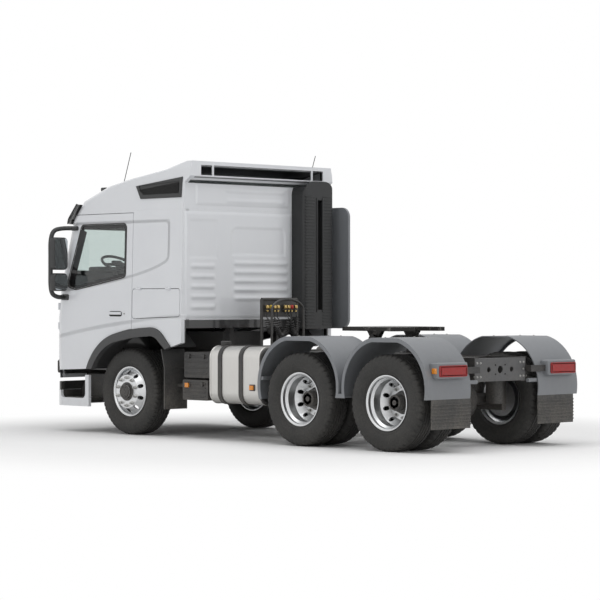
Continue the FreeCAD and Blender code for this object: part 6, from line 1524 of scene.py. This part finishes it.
def seen_directly(tree):
    """1 for rays from the camera, off a mirror or through glass, and 0 for light between surfaces."""
    rays = tree.nodes.new("ShaderNodeLightPath").outputs
    seen = calc(tree, "MAXIMUM", rays["Is Camera Ray"], rays["Is Glossy Ray"])
    return calc(tree, "MAXIMUM", seen, rays["Is Transmission Ray"])


def soft_light(name, place, aim, width, height, power):
    """A rectangular studio light at a place, aimed at a point."""
    lamp = bpy.data.lights.new(name, "AREA")
    lamp.shape = "RECTANGLE"
    lamp.size, lamp.size_y, lamp.energy = width, height, power
    holder = bpy.data.objects.new(name, lamp)
    holder.location = place
    holder.rotation_euler = (Vector(aim) - Vector(place)).to_track_quat("-Z", "Y").to_euler()
    bpy.context.collection.objects.link(holder)


floor_half, floor_z = 60.0, -0.001
floor_mesh = bpy.data.meshes.new("studio_floor")
floor_corners = [(x * floor_half, y * floor_half, floor_z) for x, y in ((-1, -1), (1, -1), (1, 1), (-1, 1))]
floor_mesh.from_pydata(floor_corners, [], [(0, 1, 2, 3)])
studio_floor = bpy.data.objects.new("studio_floor", floor_mesh)
bpy.context.collection.objects.link(studio_floor)
floor_finish, tree, shader = start_finish("floor_white", specular=0.2)
mottle = noise(tree, place_on_vehicle(tree), 1.5, 3.0)
join(tree, shader, {"Base Color": blend(tree, mottle, (0.95, 0.95, 0.95, 1), (0.99, 0.99, 0.99, 1)),
                    "Roughness": 0.9})
away = put(tree, "VectorMath", {0: place_on_vehicle(tree)}, operation="LENGTH").node.outputs["Value"]
fade = ramp(tree, away, 3.4, 6.6, interpolation_type="SMOOTHSTEP")
white = put(tree, "Emission")
mixed = put(tree, "MixShader", {0: calc(tree, "MULTIPLY", fade, seen_directly(tree)), 1: shader.outputs[0],
                                2: white})
join(tree, tree.nodes["Material Output"], {"Surface": mixed})
floor_mesh.materials.append(floor_finish)

world = bpy.data.worlds.new("studio")
world.use_nodes = True
bpy.context.scene.world = world
sky = world.node_tree
join(sky, sky.nodes["Background"], {"Color": (1, 1, 1, 1),
                                    "Strength": ramp(sky, seen_directly(sky), low=0.50, high=1.0)})
soft_light("light_above", (-2.0, 1.0, 11.0), (0.0, 0.0, 1.0), 12.0, 8.0, 560)
soft_light("light_side", (1.5, 12.0, 5.0), (0.5, 0.0, 1.6), 8.0, 5.0, 110)
soft_light("light_rear", (-12.0, -1.0, 4.5), (0.0, 0.0, 1.4), 6.0, 5.0, 110)

view_angle, view_distance, view_width, sensor_width = math.radians(225.5), 27.0, 7.1, 36.0
aim = Vector((0.02, 0.0, 1.62))
camera_data = bpy.data.cameras.new("camera")
camera_data.sensor_width = sensor_width
camera_data.lens = sensor_width * view_distance / view_width
camera = bpy.data.objects.new("camera", camera_data)
camera.location = (aim.x + math.sin(view_angle) * view_distance, aim.y - math.cos(view_angle) * view_distance,
                   aim.z)
camera.rotation_euler = (aim - camera.location).to_track_quat("-Z", "Y").to_euler()
bpy.context.collection.objects.link(camera)
bpy.context.scene.camera = camera
bpy.context.scene.view_settings.view_transform = "Standard"
